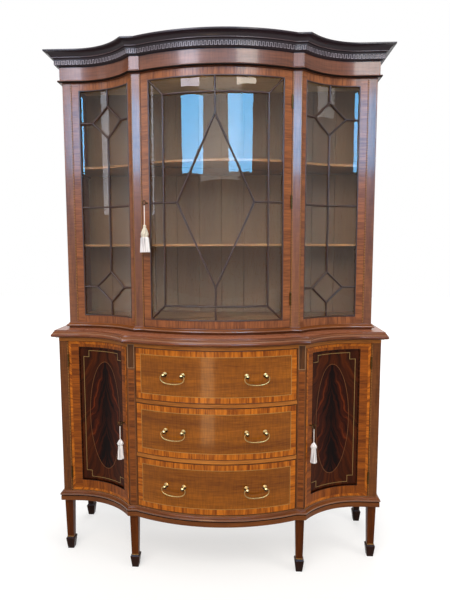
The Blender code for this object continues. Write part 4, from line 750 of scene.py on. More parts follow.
def flame(name, light, dark, glow, heart=0.0):
    """Flame veneer cut from a crotch: dark plumes that rise and curl out from a middle line.

    The bands follow a height that drops with a power of the distance from the middle, bent by noise.
    With a heart, the glow shows only beyond that distance from the middle.
    """
    made, tree, shader = new_material(name)
    places = add(tree, "TexCoord")
    bend = add(tree, "TexNoise", {"Vector": places.outputs["UV"], "Scale": FLAME_BENDS_PER_M, "Detail": 2.0})
    parts = add(tree, "SeparateXYZ", {0: places.outputs["UV"]})
    wide = add(tree, "Math", {0: parts.outputs[0]}, operation="ABSOLUTE")
    eased = add(tree, "Math", {0: wide.outputs[0], 1: 0.6}, operation="POWER")
    drop = add(tree, "Math", {0: eased.outputs[0], 1: 1.1, 2: parts.outputs[1]}, operation="MULTIPLY_ADD")
    bent = add(tree, "Math", {0: bend.outputs[0], 1: 0.20, 2: drop.outputs[0]}, operation="MULTIPLY_ADD")
    plume = add(tree, "CombineXYZ", {0: bent.outputs[0], 1: wide.outputs[0]})
    squeezed = add(tree, "Mapping", {"Vector": plume.outputs[0], "Scale": (1.0, 0.35, 1.0)})
    bands = add(tree, "TexNoise", {"Vector": squeezed.outputs[0], "Scale": FLAME_BANDS_PER_M, "Detail": 3.0,
                                   "Roughness": 0.55})
    edge = add(tree, "Math", {0: bend.outputs[0], 1: 0.05, 2: wide.outputs[0]}, operation="MULTIPLY_ADD")
    held_back = -0.16 if heart else 0.0
    outer = add(tree, "MapRange", {0: edge.outputs[0], 1: heart + 0.010, 2: heart + 0.055, 3: held_back,
                                   4: 0.03})
    shown = add(tree, "Math", {0: bands.outputs[0], 1: outer.outputs[0]}, operation="ADD")
    ramp = add(tree, "ValToRGB", {0: shown.outputs[0]})
    ramp.color_ramp.elements[0].position = 0.34
    ramp.color_ramp.elements[0].color = linear(dark)
    ramp.color_ramp.elements[1].position = 0.57
    ramp.color_ramp.elements[1].color = linear(light)
    ramp.color_ramp.elements.new(0.72).color = linear(glow)
    tree.links.new(ramp.outputs[0], shader.inputs["Base Color"])
    shader.inputs["Roughness"].default_value = 0.30
    shader.inputs["Specular IOR Level"].default_value = 0.04
    shader.inputs["Coat Weight"].default_value = 0.03
    shader.inputs["Coat Roughness"].default_value = 0.10
    return made


# The ground of each panel, darkened by old polish: its plumes only show close to
flame_ground = flame("flame_veneer_ground", "401a08", "210d04", "522409")


def fine(points):
    """The same outline with each side cut into short lengths, so that it can bend."""
    points = np.asarray(points, float)
    after = np.roll(points, -1, axis=0)
    cut = []
    for first, second in zip(points, after):
        count = max(1, math.ceil(np.linalg.norm(second - first) / BEND_STEP))
        cut.append(first + (second - first) * np.linspace(0, 1, count, endpoint=False)[:, None])
    return np.concatenate(cut)


def rectangle(left, right, low, high):
    """A rectangle's corners, in the order that puts its right-hand side outwards."""
    return [(left, low), (right, low), (right, high), (left, high)]


def flat_strip(width, proud=LINE_PROUD, let_in=LINE_LET_IN):
    """The section of a strip of veneer or stringing, let into a face and standing a hair proud of it."""
    half = width / 2
    return [(-half, -let_in), (-half, proud), (half, proud), (half, -let_in)]


def framed(lay, outer, outer_behind, inner, inner_behind, left, right, low, high, low_edge, high_edge,
           thickness, lip, rebate):
    """The members of a rebated frame: two stiles of full height, and two rails tenoned between them."""
    members = []
    for edge, edge_behind, window, turn in ((outer, outer_behind, left, 1), (inner, inner_behind, right, -1)):
        stile = [(edge, 0), (window, 0), (window, -lip), (window - turn * rebate, -lip),
                 (window - turn * rebate, -thickness), (edge_behind, -thickness)]
        members.append(carry([(0, low), (0, high)], fine(stile), lay, across=True))
    for edge, window, turn in ((low, low_edge, 1), (high, high_edge, -1)):
        rail = [(-edge, 0), (-window, 0), (-window, -lip), (-window + turn * rebate, -lip),
                (-window + turn * rebate, -thickness), (-edge, -thickness)]
        members.append(carry([(left - TENON, 0), (right + TENON, 0)], rail, lay, across=True))
    return members


def bent_panel(lay, middle, centre, half_run, half, near, far):
    """A panel that bends with the front: its faces at two depths, and the four edges between them.

    A face's grain is its (across, up) from the panel's own middle, which is where a flame is centred.
    """
    a = cuts(-half_run, half_run, PANEL_STEP_ACROSS)[None]
    b = cuts(-half, half, PANEL_STEP_UP)
    depths = np.array([near, far])[:, None]
    patches = [(lay(middle + a, centre + b[:, None], -depth), together(a, b[:, None]), 0)
               for depth in (near, far)]
    patches += [(lay(middle + a, centre + edge, -depths), together(a, depths), 0) for edge in (-half, half)]
    patches += [(lay(middle + edge, centre + b[None], -depths), together(depths, b[None]), 0)
                for edge in (-half_run, half_run)]
    return patches


low = BASE_TOP + DOOR_GAP
high = TOP_RAIL_BOTTOM - DOOR_GAP
lock_x = INNER_POST_EDGE + INNER_POST_WIDTH + DOOR_GAP
hinge_edge = LOWER.sweep_along(LOWER_HALF_WIDTH - OUTER_POST_WIDTH - DOOR_GAP)
lock_edge = LOWER.sweep_along(lock_x)
lock_edge_behind = LOWER.sweep_along(lock_x, -CUPBOARD_THICKNESS)
opening_left = LOWER.sweep_along(LOWER_HALF_WIDTH - OUTER_POST_WIDTH - OUTER_STILE)
opening_right = LOWER.sweep_along(INNER_POST_EDGE + INNER_POST_WIDTH + INNER_STILE)
opening_low = BASE_TOP + BOTTOM_RAIL
opening_high = TOP_RAIL_BOTTOM - TOP_RAIL
panel_lap = REBATE - TOUCH
for side, word in SIDES:
    lay = LOWER.on_sweep(side)
    door = "cupboard_door_" + word
    members = framed(lay, hinge_edge, hinge_edge, lock_edge, lock_edge_behind, opening_left, opening_right,
                     low, high, opening_low, opening_high, CUPBOARD_THICKNESS, PANEL_RECESS, REBATE)
    solid("cupboard_frame_" + word, members, [door_veneer], door,
          ["cupboard_door_frame_" + word])
    inset = DOOR_EDGE_BAND / 2 + EDGE_BAND_INSET
    edge = rectangle(hinge_edge + inset, lock_edge - inset, low + inset, high - inset)
    band = carry(edge, flat_strip(DOOR_EDGE_BAND), lay, True, across=True, step=BEND_STEP)
    solid("cupboard_edge_band_" + word, [band], [orange_band], door)
    panel = bent_panel(lay, (opening_left + opening_right) / 2, (opening_low + opening_high) / 2,
                       (opening_right - opening_left) / 2 + panel_lap,
                       (opening_high - opening_low) / 2 + panel_lap,
                       PANEL_FACE_DEPTH, PANEL_FACE_DEPTH + PANEL_THICKNESS)
    solid("cupboard_panel_board_" + word, [panel], [flame_ground], door,
          ["cupboard_panel_" + word], centred=True)

# The inlay of the cupboard panels: a rectangle of boxwood line with re-entrant corners, and an oval of
# brighter flame veneer with a browner line round it. A bead runs round the frame's opening, coloured near
# black as painted shade at the edge of the recess.
LINE_WIDTH = 0.0020
LINE_STEP = 0.010
PANEL_LINE_LOW = 0.350
PANEL_LINE_HIGH = 0.927
PANEL_LINE_OUTER = 0.594
PANEL_LINE_INNER = 0.406
CORNER_STEP_X = 0.024
CORNER_STEP_Z = 0.028
OVAL_CENTRE_X = 0.494
OVAL_CENTRE_Z = 0.640
OVAL_HALF_WIDTH = 0.080
OVAL_HALF_HEIGHT = 0.241
OVAL_STEPS = 72
OVAL_RINGS = 14
OPENING_BEAD_WIDTH = 0.0032
OPENING_BEAD_PROUD = 0.0010
# The brighter flame in the oval, which glows red on both sides of a dark heart
flame_oval = flame("flame_veneer_oval", "371306", "0c0302", "6c2c10", heart=0.016)
# Boxwood dulled by old polish, and a browner line round the oval
dull_boxwood = wood("aged_boxwood_line", "a0824f", "80653a", contrast=0.2, coat=0.05)
oval_line = wood("tulipwood_line", "7a4c2a", "5e361a", contrast=0.2, coat=0.05)

left = LOWER.sweep_along(PANEL_LINE_OUTER)
right = LOWER.sweep_along(PANEL_LINE_INNER)
step_left = LOWER.sweep_along(PANEL_LINE_OUTER - CORNER_STEP_X)
step_right = LOWER.sweep_along(PANEL_LINE_INNER + CORNER_STEP_X)
notched = [
    (step_left, PANEL_LINE_LOW), (step_right, PANEL_LINE_LOW), (step_right, PANEL_LINE_LOW + CORNER_STEP_Z),
    (right, PANEL_LINE_LOW + CORNER_STEP_Z), (right, PANEL_LINE_HIGH - CORNER_STEP_Z),
    (step_right, PANEL_LINE_HIGH - CORNER_STEP_Z), (step_right, PANEL_LINE_HIGH),
    (step_left, PANEL_LINE_HIGH), (step_left, PANEL_LINE_HIGH - CORNER_STEP_Z),
    (left, PANEL_LINE_HIGH - CORNER_STEP_Z), (left, PANEL_LINE_LOW + CORNER_STEP_Z),
    (step_left, PANEL_LINE_LOW + CORNER_STEP_Z),
]
oval_middle = LOWER.sweep_along(OVAL_CENTRE_X)


def panel_lay(side):
    """Lays on the recessed panel's face, which is deeper than the door's."""
    lay = LOWER.on_sweep(side)
    return lambda along, height, rise: lay(along, height, rise - PANEL_FACE_DEPTH)


def line_on(points, lay, width=LINE_WIDTH, closed=True, proud=LINE_PROUD, finish=0):
    """A strip of stringing on a face, carried along the points."""
    return carry(points, flat_strip(width, proud), lay, closed, step=LINE_STEP, finish=finish)


def oval(middle, height):
    """An ellipse: cosine and sine of one turn, times its half width and half height."""
    angles = np.linspace(0, 2 * math.pi, OVAL_STEPS, endpoint=False)
    return together(middle + OVAL_HALF_WIDTH * np.cos(angles), height + OVAL_HALF_HEIGHT * np.sin(angles))


def oval_field(lay, middle, height):
    """A thin oval of veneer: growing ellipses on two levels, with the rim between the outermost ones."""
    rings = np.linspace(0, 1, OVAL_RINGS)[:, None]
    turn = np.linspace(0, 2 * math.pi, OVAL_STEPS + 1)[None]
    a = rings * OVAL_HALF_WIDTH * np.cos(turn)
    b = rings * OVAL_HALF_HEIGHT * np.sin(turn)
    face = lay(middle + a, height + b, LINE_PROUD)
    under = lay(middle + a, height + b, -LINE_LET_IN)
    uv = together(a, b)
    return [(face, uv, 0), (under, uv, 0), (np.stack([face[-1], under[-1]]), np.stack([uv[-1], uv[-1]]), 0)]


def half_round(half, proud, foot, steps):
    """A bead's section: half a turn of cosine by half width and sine by rise, on a square foot."""
    arc = np.linspace(math.pi, 0, steps)
    return np.vstack([[(-half, -foot)], together(half * np.cos(arc), proud * np.sin(arc)), [(half, -foot)]])


for side, word in SIDES:
    door = "cupboard_door_" + word
    lay = panel_lay(side)
    solid("cupboard_oval_" + word, [oval_field(lay, oval_middle, OVAL_CENTRE_Z)], [flame_oval], door,
          centred=True)
    lines = [
        line_on(notched, lay),
        line_on(oval(oval_middle, OVAL_CENTRE_Z), lay, proud=2 * LINE_PROUD, finish=1),
    ]
    solid("cupboard_panel_lines_" + word, lines, [dull_boxwood, oval_line], door)
    half = OPENING_BEAD_WIDTH / 2
    opening = rectangle(opening_left - half, opening_right + half, opening_low - half, opening_high + half)
    bead = half_round(half, OPENING_BEAD_PROUD, PANEL_RECESS, 7)
    solid("cupboard_opening_bead_" + word, [carry(opening, bead, LOWER.on_sweep(side), True)],
          [black_stain_and_painted_shade], door)

# Drawers: bow fronts veneered in golden mahogany with a crossband and a boxwood line, and a dark
# cockbead planted round the edge, on dovetailed oak boxes.
DRAWER_GAP = 0.0012
DRAWER_THICKNESS = 0.022
COCKBEAD_WIDTH = 0.0026
COCKBEAD_PROUD = 0.0008
COCKBEAD_LET_IN = 0.002
CROSSBAND_WIDTH = 0.0225
UPRIGHT_STEP = 0.03
DRAWERS = (
    ("top", SECOND_RAIL + RAIL_HEIGHT, TOP_RAIL_BOTTOM),
    ("middle", FIRST_RAIL + RAIL_HEIGHT, SECOND_RAIL),
    ("bottom", BASE_TOP, FIRST_RAIL),
)
oak_deep = planed_oak("planed_oak_lengthwise", "y")
# Golden mahogany veneer, broadly clouded and crossed by soft ticks, under a gloss
drawer_veneer = wood("golden_drawer_veneer", "9c590e", "693604", streak_mm=6.0, broad_mm=70.0,
                     contrast=0.6, ticks=0.18, tick_mm=6.0, shine=0.04, coat=0.24)
# Cockbeads in plain brown mahogany, whose edge catches a thin light
bead_mahogany = wood("mahogany_cockbead", "6e3f1c", "48260f", contrast=0.3)


def banded_front(plan, end, end_behind, low, high, rings, thickness):
    """A bowed drawer front: one grid cell for each field between the inlay's lines.

    rings gives the width of each border from the edge inwards. The borders above and below run the
    full length with upright grain, and those at the ends lie between them with level grain.
    """
    insets = np.concatenate([[0], np.cumsum(rings)])
    runs = np.concatenate([-end + insets, (end - insets)[::-1]])
    ups = np.concatenate([low + insets, (high - insets)[::-1]])
    run_cuts = [cuts(first, second) for first, second in zip(runs, runs[1:])]
    up_cuts = [cuts(first, second, UPRIGHT_STEP) for first, second in zip(ups, ups[1:])]
    inmost = len(rings)
    patches = []
    for i, b in enumerate(up_cuts):
        for j, a in enumerate(run_cuts):
            row = min(i, 2 * inmost - i)
            column = min(j, 2 * inmost - j)
            upright = row <= column and row < inmost
            uv = together(a[None], b[:, None]) if upright else together(b[:, None], a[None])
            patches.append((plan.on_bow(a[None], b[:, None], 0.0), uv, min(row, column)))
    front = np.unique(np.concatenate(run_cuts))
    back = cuts(-end_behind, end_behind)
    up = np.unique(np.concatenate(up_cuts))[None]
    heights = np.array([low, high])[:, None]
    rises = np.array([0.0, -thickness])[:, None]
    patches.append((plan.on_bow(back[None], heights, -thickness), together(heights, back[None]), 0))
    for height in (low, high):
        near = plan.on_bow(front, height, 0.0)
        far = plan.on_bow(back[::-1], height, -thickness)
        loop = np.concatenate([near, far])[None]
        patches.append((loop, loop[:, :, [1, 0]], 0))
    for sign in (-1, 1):
        edge = np.array([sign * end, sign * end_behind])[:, None]
        patches.append((plan.on_bow(edge, up, rises), together(rises, up), 0))
    return patches


edge = INNER_POST_EDGE - DRAWER_GAP
end = LOWER.bow_along(edge)
end_behind = LOWER.bow_along(edge, -DRAWER_THICKNESS)
for word, low, high in DRAWERS:
    body = "drawer_" + word
    low = low + DRAWER_GAP
    high = high - DRAWER_GAP
    front = banded_front(LOWER, end, end_behind, low, high,
                         (COCKBEAD_WIDTH, CROSSBAND_WIDTH, LINE_WIDTH), DRAWER_THICKNESS)
    # The front's outer ring under the cockbead and its edges are near black as painted shade of the gaps
    # round the drawer; its back is near black too
    solid("drawer_face_" + word, [front], [black_stain_and_painted_shade, orange_band, boxwood, drawer_veneer], body,
          ["drawer_front_" + word])
    half = COCKBEAD_WIDTH / 2
    bead = half_round(half, COCKBEAD_PROUD, COCKBEAD_LET_IN, 6)
    outline = rectangle(-end + half, end - half, low + half, high - half)
    solid("cockbead_" + word, [carry(outline, bead, LOWER.on_bow, True)], [bead_mahogany], body)
    dress(oak_deep, "drawer_box_" + word)

# Bail handles: cast and lacquered brass. Two turned pommels with round roses are screwed through each
# front, and the swan-neck bail turns in their balls.
HANDLE_CENTRE = 0.1655
HANDLE_SPACING = 0.077
HANDLE_RISE = 0.006
POMMEL_STANDOFF = 0.021
POMMEL_RADIUS = 0.0078
POMMEL_HALF_DEPTH = 0.0062
POMMEL_LET_IN = 0.0008
ROSE_RADIUS = 0.0095
BAIL_RADIUS = 0.0019
BAIL_DROP = 0.0335
# Shares of the half span and of the drop, from a pommel's outer side down to the middle of the bail
BAIL_SHARES = ((1, 0), (1.045, 0.02), (1.08, 0.14), (1.08, 0.34), (1.0, 0.60), (0.78, 0.83), (0.42, 0.965),
               (0, 1))
WIRE_SIDES = 14
TARNISH_MM = 6.25
UP = np.array((0, 0, 1.0))


def old_brass(name, light, dark, girth=0.0):
    """Old lacquered brass: yellow metal with a brown tarnish that gathers in patches of a few mm.

    On a turned piece of that girth, whose U runs round it, the underside is painted dark as shade and the
    top painted bright as a highlight: the sine of U over the girth is one underneath.
    """
    made, tree, shader = new_material(name)
    places = add(tree, "TexCoord")
    patches = add(tree, "TexNoise", {"Vector": places.outputs["Object"], "Scale": 1000 / TARNISH_MM,
                                     "Detail": 3.0})
    share = patches.outputs[0]
    if girth:
        parts = add(tree, "SeparateXYZ", {0: places.outputs["UV"]})
        round_about = add(tree, "Math", {0: parts.outputs[0], 1: 1 / girth}, operation="MULTIPLY")
        under = add(tree, "Math", {0: round_about.outputs[0]}, operation="SINE")
        tarnish_and_painted_light = add(tree, "Math", {0: under.outputs[0], 1: -0.45, 2: share}, operation="MULTIPLY_ADD")
        share = add(tree, "MapRange", {0: tarnish_and_painted_light.outputs[0], 1: 0.45, 2: 0.98}).outputs[0]
    colour = add(tree, "Mix", {0: share, 6: linear(dark), 7: linear(light)}, data_type="RGBA")
    tree.links.new(colour.outputs[2], shader.inputs["Base Color"])
    rough = add(tree, "MapRange", {0: patches.outputs[0], 3: 0.42, 4: 0.22})
    tree.links.new(rough.outputs[0], shader.inputs["Roughness"])
    shader.inputs["Metallic"].default_value = 1.0
    return made


brass = old_brass("antique_brass", "d0ae70", "4a3418")
# Pommels: their tops painted bright as a highlight and their undersides dark as shade, over the tarnish
# patches
lit_and_shaded_pommel_brass = old_brass("brass_of_pommels_painted_light", "e4c488", "180e04", ROSE_RADIUS)


def turned(profile, root, axis, sides=28):
    """A turned shape: each (radius, reach) of the profile goes round the axis from its root."""
    profile = np.asarray(profile, float)
    axis = np.asarray(axis, float) / np.linalg.norm(axis)
    first = np.cross(axis, (0, 0, 1) if abs(axis[2]) < 0.9 else (1, 0, 0))
    first = first / np.linalg.norm(first)
    second = np.cross(axis, first)
    angles = np.linspace(0, 2 * math.pi, sides + 1)[None, :, None]
    spin = np.cos(angles) * first + np.sin(angles) * second
    grid = np.asarray(root) + profile[:, None, 1:] * axis + profile[:, None, :1] * spin
    uv = together(angles[:, :, 0] * profile[:, 0].max(), reach_along(profile)[:, None])
    return [(grid, uv, 0)]


def tube(path, radius, square_to, closed=False):
    """A round wire along a path in one plane: each ring spans that plane's normal and the path's own."""
    path = np.asarray(path, float)
    radius = np.broadcast_to(radius, len(path))
    ahead = np.roll(path, -1, axis=0) - np.roll(path, 1, axis=0)
    if not closed:
        ahead[0] = path[1] - path[0]
        ahead[-1] = path[-1] - path[-2]
    ahead = ahead / np.linalg.norm(ahead, axis=1)[:, None]
    normal = np.broadcast_to(np.asarray(square_to, float), path.shape)
    sideways = np.cross(normal, ahead)
    sideways = sideways / np.linalg.norm(sideways, axis=1)[:, None]
    angles = np.linspace(0, 2 * math.pi, WIRE_SIDES + 1)[None, :, None]
    ring = np.cos(angles) * sideways[:, None] + np.sin(angles) * normal[:, None]
    grid = path[:, None] + radius[:, None, None] * ring
    if closed:
        grid = np.concatenate([grid, grid[:1]])
    uv = together(angles[:, :, 0] * radius[0], np.arange(len(grid))[:, None] * radius[0])
    return [(grid, uv, 0)] + ([] if closed else end_caps(grid, uv))


def facing(lay, along, height):
    """A point of a laid face, and the unit vector that points straight out of it."""
    face = lay(along, height, 0.0)
    return face, lay(along, height, 1.0) - face


# (radius, reach off the front) in metres: the rose, the neck and the ball of a pommel
rose = [(0, 0.0004), (ROSE_RADIUS, 0.0004), (ROSE_RADIUS, 0.0010), (0.0088, 0.0018), (0.0074, 0.0020),
        (0.0070, 0.0028), (0.0058, 0.0032)]
neck = through([(0.0052, 0.0034), (0.0036, 0.0060), (0.0034, 0.0100), (0.0046, 0.0140)], 4)
angles = np.linspace(-0.75 * math.pi / 2, math.pi / 2, 12)
knob = together(POMMEL_RADIUS * np.cos(angles), POMMEL_STANDOFF + POMMEL_HALF_DEPTH * np.sin(angles))
pommel = np.vstack([rose, neck, knob])
half_span = HANDLE_SPACING / 2 + POMMEL_RADIUS + TOUCH
swan = through(BAIL_SHARES + tuple((-out, down) for out, down in BAIL_SHARES[-2::-1]), 8)
thick = BAIL_RADIUS * (0.86 + 0.34 * np.clip(swan[:, 1], 0, 1) ** 2)
for word, low, high in DRAWERS:
    height = (low + high) / 2 + HANDLE_RISE
    pommels = []
    for side, side_word in SIDES:
        face, out = facing(LOWER.on_bow, side * LOWER.bow_along(HANDLE_CENTRE), height)
        level_way = np.array((-out[1], out[0], 0.0))
        for end_side in (-1, 1):
            root = face + level_way * end_side * HANDLE_SPACING / 2
            pommels.append(turned(pommel, root - out * POMMEL_LET_IN, out))
        centre = face + out * POMMEL_STANDOFF
        path = centre + swan[:, :1] * half_span * level_way - swan[:, 1:] * BAIL_DROP * UP
        bail = "bail_" + word + "_" + side_word
        solid("swan_neck_" + bail, [tube(path, thick, out)], [brass], bail, [bail])
    solid("pommels_" + word, pommels, [lit_and_shaded_pommel_brass], "drawer_" + word, centred=True)

# Hinges: brass butts let into the posts and the doors' edges, three knuckles each. The outer knuckles
# belong to the post, and the middle one to the door.
HINGE_RADIUS = 0.0035
HINGE_LENGTH = 0.054
HINGE_STANDOFF = 0.0042
KNUCKLES = 3
KNUCKLE_GAP = 0.0005
KNUCKLE_EASE = 0.0005
LEAF_REACH = 0.0020
CUPBOARD_HINGE_INSET = 0.085
# Butts that are never cleaned: dull brown brass
tarnished_brass = old_brass("tarnished_brass_butt", "54401f", "261a0e")


def knuckle(x, y, low, high):
    """One knuckle: a short round barrel with eased ends."""
    tall = high - low
    barrel = [(0, 0), (HINGE_RADIUS - KNUCKLE_EASE, 0), (HINGE_RADIUS, KNUCKLE_EASE),
              (HINGE_RADIUS, tall - KNUCKLE_EASE), (HINGE_RADIUS - KNUCKLE_EASE, tall), (0, tall)]
    return turned(barrel, (x, y, low), (0, 0, 1), 20)


def leaf(x, y, low, high, reach):
    """The strip of a butt from its knuckle back to the wood."""
    left, right = sorted((x, x + reach))
    corners = np.array([(left, y), (right, y), (right, y + HINGE_STANDOFF), (left, y + HINGE_STANDOFF)])
    rings = np.array([raised(corners, height) for height in (low, high)])
    walls = np.concatenate([rings, rings[:, :1]], axis=1)
    return [(walls, walls[:, :, :2], 0)] + [(ring[None], ring[None, :, :2], 0) for ring in rings]


def hinges(name, x, y, heights, fixed_body, moving_body, wood_side):
    """All the knuckles and leaves at one edge of a door, as one fixed and one moving piece."""
    fixed, moving = [], []
    length = HINGE_LENGTH / KNUCKLES
    for height in heights:
        for i in range(KNUCKLES):
            low = height - HINGE_LENGTH / 2 + i * length + KNUCKLE_GAP / 2
            high = low + length - KNUCKLE_GAP
            members = moving if i == 1 else fixed
            sign = -wood_side if i == 1 else wood_side
            members.append(knuckle(x, y, low, high))
            members.append(leaf(x + sign * DOOR_GAP, y, low, high, sign * LEAF_REACH))
    solid(name + "_fixed_knuckles", fixed, [tarnished_brass], fixed_body)
    solid(name + "_door_knuckles", moving, [tarnished_brass], moving_body)


for side, word in SIDES:
    x = side * (LOWER_HALF_WIDTH - OUTER_POST_WIDTH - DOOR_GAP / 2)
    hinges("cupboard_" + word, x, LOWER_SIDE_Y - HINGE_STANDOFF,
           (BASE_TOP + CUPBOARD_HINGE_INSET, TOP_RAIL_BOTTOM - CUPBOARD_HINGE_INSET), "cabinet",
           "cupboard_door_" + word, side)

# The posts' inlay: on the inner posts a dark tablet between pale lines at the head, and a crossbanded
# strip below it, down to the base moulding. A chequered line is let in along each outer post.
TABLET_LOW = 0.881
TABLET_HIGH = 0.980
STRIP_TOP = 0.873
STRIP_BOTTOM = BASE_TOP + 0.006
POST_LINE_INSET = 0.0055
POST_LINE_WIDTH = 0.0026
CHEQUER_MM = 7.0
CHEQUER_WIDTH = 0.0032
CHEQUER_INSET = 0.0030
CHEQUER_END_GAP = 0.004


def chequered():
    """Chequered stringing: light and dark blocks in turn, drawn longer than the real 2 mm to show."""
    made, tree, shader = new_material("chequered_stringing")
    places = add(tree, "TexCoord")
    blocks = add(tree, "TexWave", {"Vector": places.outputs["UV"], "Scale": 1000 / CHEQUER_MM / math.pi},
                 bands_direction="Y")
    step = add(tree, "MapRange", {0: blocks.outputs[1], 1: 0.45, 2: 0.55})
    colour = add(tree, "Mix", {0: step.outputs[0], 6: linear("1e0f08"), 7: linear("a8743a")},
                 data_type="RGBA")
    tree.links.new(colour.outputs[2], shader.inputs["Base Color"])
    shader.inputs["Roughness"].default_value = 0.35
    shader.inputs["Specular IOR Level"].default_value = 0.10
    return made


chequer = chequered()
# Walnut for the tablets, a plain dull brown, inside a pale line of holly yellowed by polish
tablet_veneer = wood("walnut_tablet", "583418", "2c190b", streak_mm=5.0, broad_mm=25.0)
tablet_line = wood("holly_line", "9a7858", "725640", contrast=0.3)
# The strips below: mahogany laid across the post, with strong level stripes
post_band = wood("post_crossbanding", "8a4b1b", "52290e", streak_mm=7.0, broad_mm=20.0, contrast=1.0,
                 streak_share=0.75)


def on_post(face):
    """Lays on an upright's flat front, whose y is given."""
    return lambda x, height, rise: together(x, face - rise, height)


for side, word in SIDES:
    near = side * (inner_x - INNER_POST_WIDTH / 2 + POST_LINE_INSET)
    far = side * (inner_x + INNER_POST_WIDTH / 2 - POST_LINE_INSET)
    left, right = sorted((near, far))
    middle = (left + right) / 2
    lay = on_post(LOWER_POST_Y)
    tablet = flat_strip(right - left, let_in=TOUCH)
    patches = [
        carry([(middle, TABLET_LOW), (middle, TABLET_HIGH)], tablet, lay),
        carry([(middle, STRIP_BOTTOM), (middle, STRIP_TOP)], tablet, lay, across=True, finish=1),
        line_on(rectangle(left, right, TABLET_LOW, TABLET_HIGH), lay, POST_LINE_WIDTH, proud=2 * LINE_PROUD,
                finish=3),
        line_on(rectangle(left, right, STRIP_BOTTOM, STRIP_TOP), lay, proud=2 * LINE_PROUD, finish=2),
    ]
    solid("inner_post_inlay_" + word, patches, [tablet_veneer, post_band, oval_line, tablet_line], "cabinet")
    string_x = side * (LOWER_HALF_WIDTH - OUTER_POST_WIDTH + CHEQUER_INSET)
    string = [(string_x, BASE_TOP + CHEQUER_END_GAP), (string_x, TOP_RAIL_BOTTOM - CHEQUER_END_GAP)]
    string = line_on(string, on_post(LOWER_SIDE_Y), CHEQUER_WIDTH, closed=False)
    solid("outer_post_stringing_" + word, [string], [chequer], "cabinet")

# The base moulding of the upper case: a plinth strip and a half round in mahogany that the pilasters
# stand on, mitred round the front as the one below is. Its half round is glossier and painted lighter as a
# highlight too.
UPPER_HALF_WIDTH = 0.669
UPPER_SWEEP_START = 0.590
INNER_PILASTER_EDGE = 0.308
PILASTER_WIDTH = 0.040
PILASTER_THICKNESS = 0.030
UPPER_SIDE_Y = 0.001
UPPER_POST_Y = -0.109
UPPER_BOW_Y = -0.175
SURBASE_TOP = 1.020
DISPLAY_BOTTOM = 1.044
DISPLAY_TOP = 2.077
UPPER_BASE_OVERHANG = 0.012
UPPER_BASE_DEPTH = 0.045
BOARD_THICKNESS = 0.018
BACK_THICKNESS = 0.012
UPPER = Plan(UPPER_HALF_WIDTH, UPPER_SWEEP_START, INNER_PILASTER_EDGE + PILASTER_WIDTH,
             INNER_PILASTER_EDGE, UPPER_SIDE_Y, UPPER_POST_Y, UPPER_BOW_Y)
upper_base_shares = np.vstack([
    [(0.2, 0.0), (0.2, 0.28), (0.62, 0.30)],
    through([(0.70, 0.31), (0.96, 0.40), (1.0, 0.50), (0.92, 0.62), (0.66, 0.70)]),
    through([(0.55, 0.74), (0.28, 0.84), (0.15, 1.0)]),
])
tall = DISPLAY_BOTTOM - SURBASE_TOP - TOUCH
upper_base = upper_base_shares * (UPPER_BASE_OVERHANG, tall) + (0, SURBASE_TOP + TOUCH)
upper_base = np.vstack([upper_base, [(-UPPER_BASE_DEPTH, DISPLAY_BOTTOM),
                                     (-UPPER_BASE_DEPTH, SURBASE_TOP + TOUCH)]])
inner_back = BACK_Y - BACK_THICKNESS - TOUCH
upper_base_finish = row_finishes(upper_base_shares, (0.38, 0.63, 1))
upper_base_line = UPPER.front_line(inner_back)
solid("upper_base_run", [carry(upper_base_line, upper_base, in_plan, finish=upper_base_finish[None])],
      [base_mahogany, polished_nose_painted_highlight], "cabinet", ["upper_base_moulding"])

# Pilasters: flat mahogany uprights at the corners and beside the door. A chequered line of light and
# dark wood is let in along each edge that a frame stands against.

# A lighter mahogany than the posts', ticked across, with enough polish to mirror the lamps
pilaster_mahogany = wood("pilaster_mahogany", "895432", "5b321e", streak_mm=6.0, ticks=0.18, tick_mm=6.0,
                         shine=0.20, coat=0.30)
string_low = DISPLAY_BOTTOM + CHEQUER_END_GAP
string_high = DISPLAY_TOP - CHEQUER_END_GAP
for side, word in SIDES:
    for kind, x, y in (
        ("outer_pilaster", UPPER_HALF_WIDTH - PILASTER_WIDTH / 2, UPPER_SIDE_Y),
        ("inner_pilaster", INNER_PILASTER_EDGE + PILASTER_WIDTH / 2, UPPER_POST_Y),
    ):
        levels = [(PILASTER_WIDTH, PILASTER_THICKNESS, DISPLAY_BOTTOM + TOUCH),
                  (PILASTER_WIDTH, PILASTER_THICKNESS, DISPLAY_TOP - TOUCH)]
        upright = loft(levels, (side * x, y + PILASTER_THICKNESS / 2))
        inset = PILASTER_WIDTH / 2 - CHEQUER_INSET
        string_places = [side * x + offset for offset in (-inset, inset)]
        if kind == "outer_pilaster":
            string_places = [side * x - side * inset]
        lines = [line_on([(string_x, string_low), (string_x, string_high)], on_post(y), CHEQUER_WIDTH,
                         closed=False, finish=1) for string_x in string_places]
        solid(kind + "_upright_" + word, [upright] + lines, [pilaster_mahogany, chequer], "cabinet",
              [kind + "_" + word])

# Ends, back, floor and dust board of the upper case: the boards stay as sawn, and the floor and the
# two shelves get their smooth serpentine front edge.
SHELF_SETBACK = 0.034
SHELF_THICKNESS = 0.010
SHELF_CORNER = 0.004
SHELF_TOPS = (("lower", DISPLAY_BOTTOM + 0.348), ("upper", DISPLAY_BOTTOM + 0.689))
# Plainly polished shelves, and dull back boards of pine stained brown, coloured darker than the lower
# case's back as painted shade inside the glazed case
shelf_mahogany = wood("polished_shelf", "77502c", "56371b", streak_mm=7.0, contrast=0.3)
shaded_back_pine = wood("stained_pine_back_painted_shade", "6e4f32", "563822", along="z", broad_mm=80.0, contrast=0.3, shine=0.08,
                 coat=0.0, roughness=0.6)
dress(side_mahogany, "upper_side_left", "upper_side_right")
dress(shaded_back_pine, "upper_back")
dress(oak_wide, "upper_top")
inside = UPPER_HALF_WIDTH - BOARD_THICKNESS - TOUCH


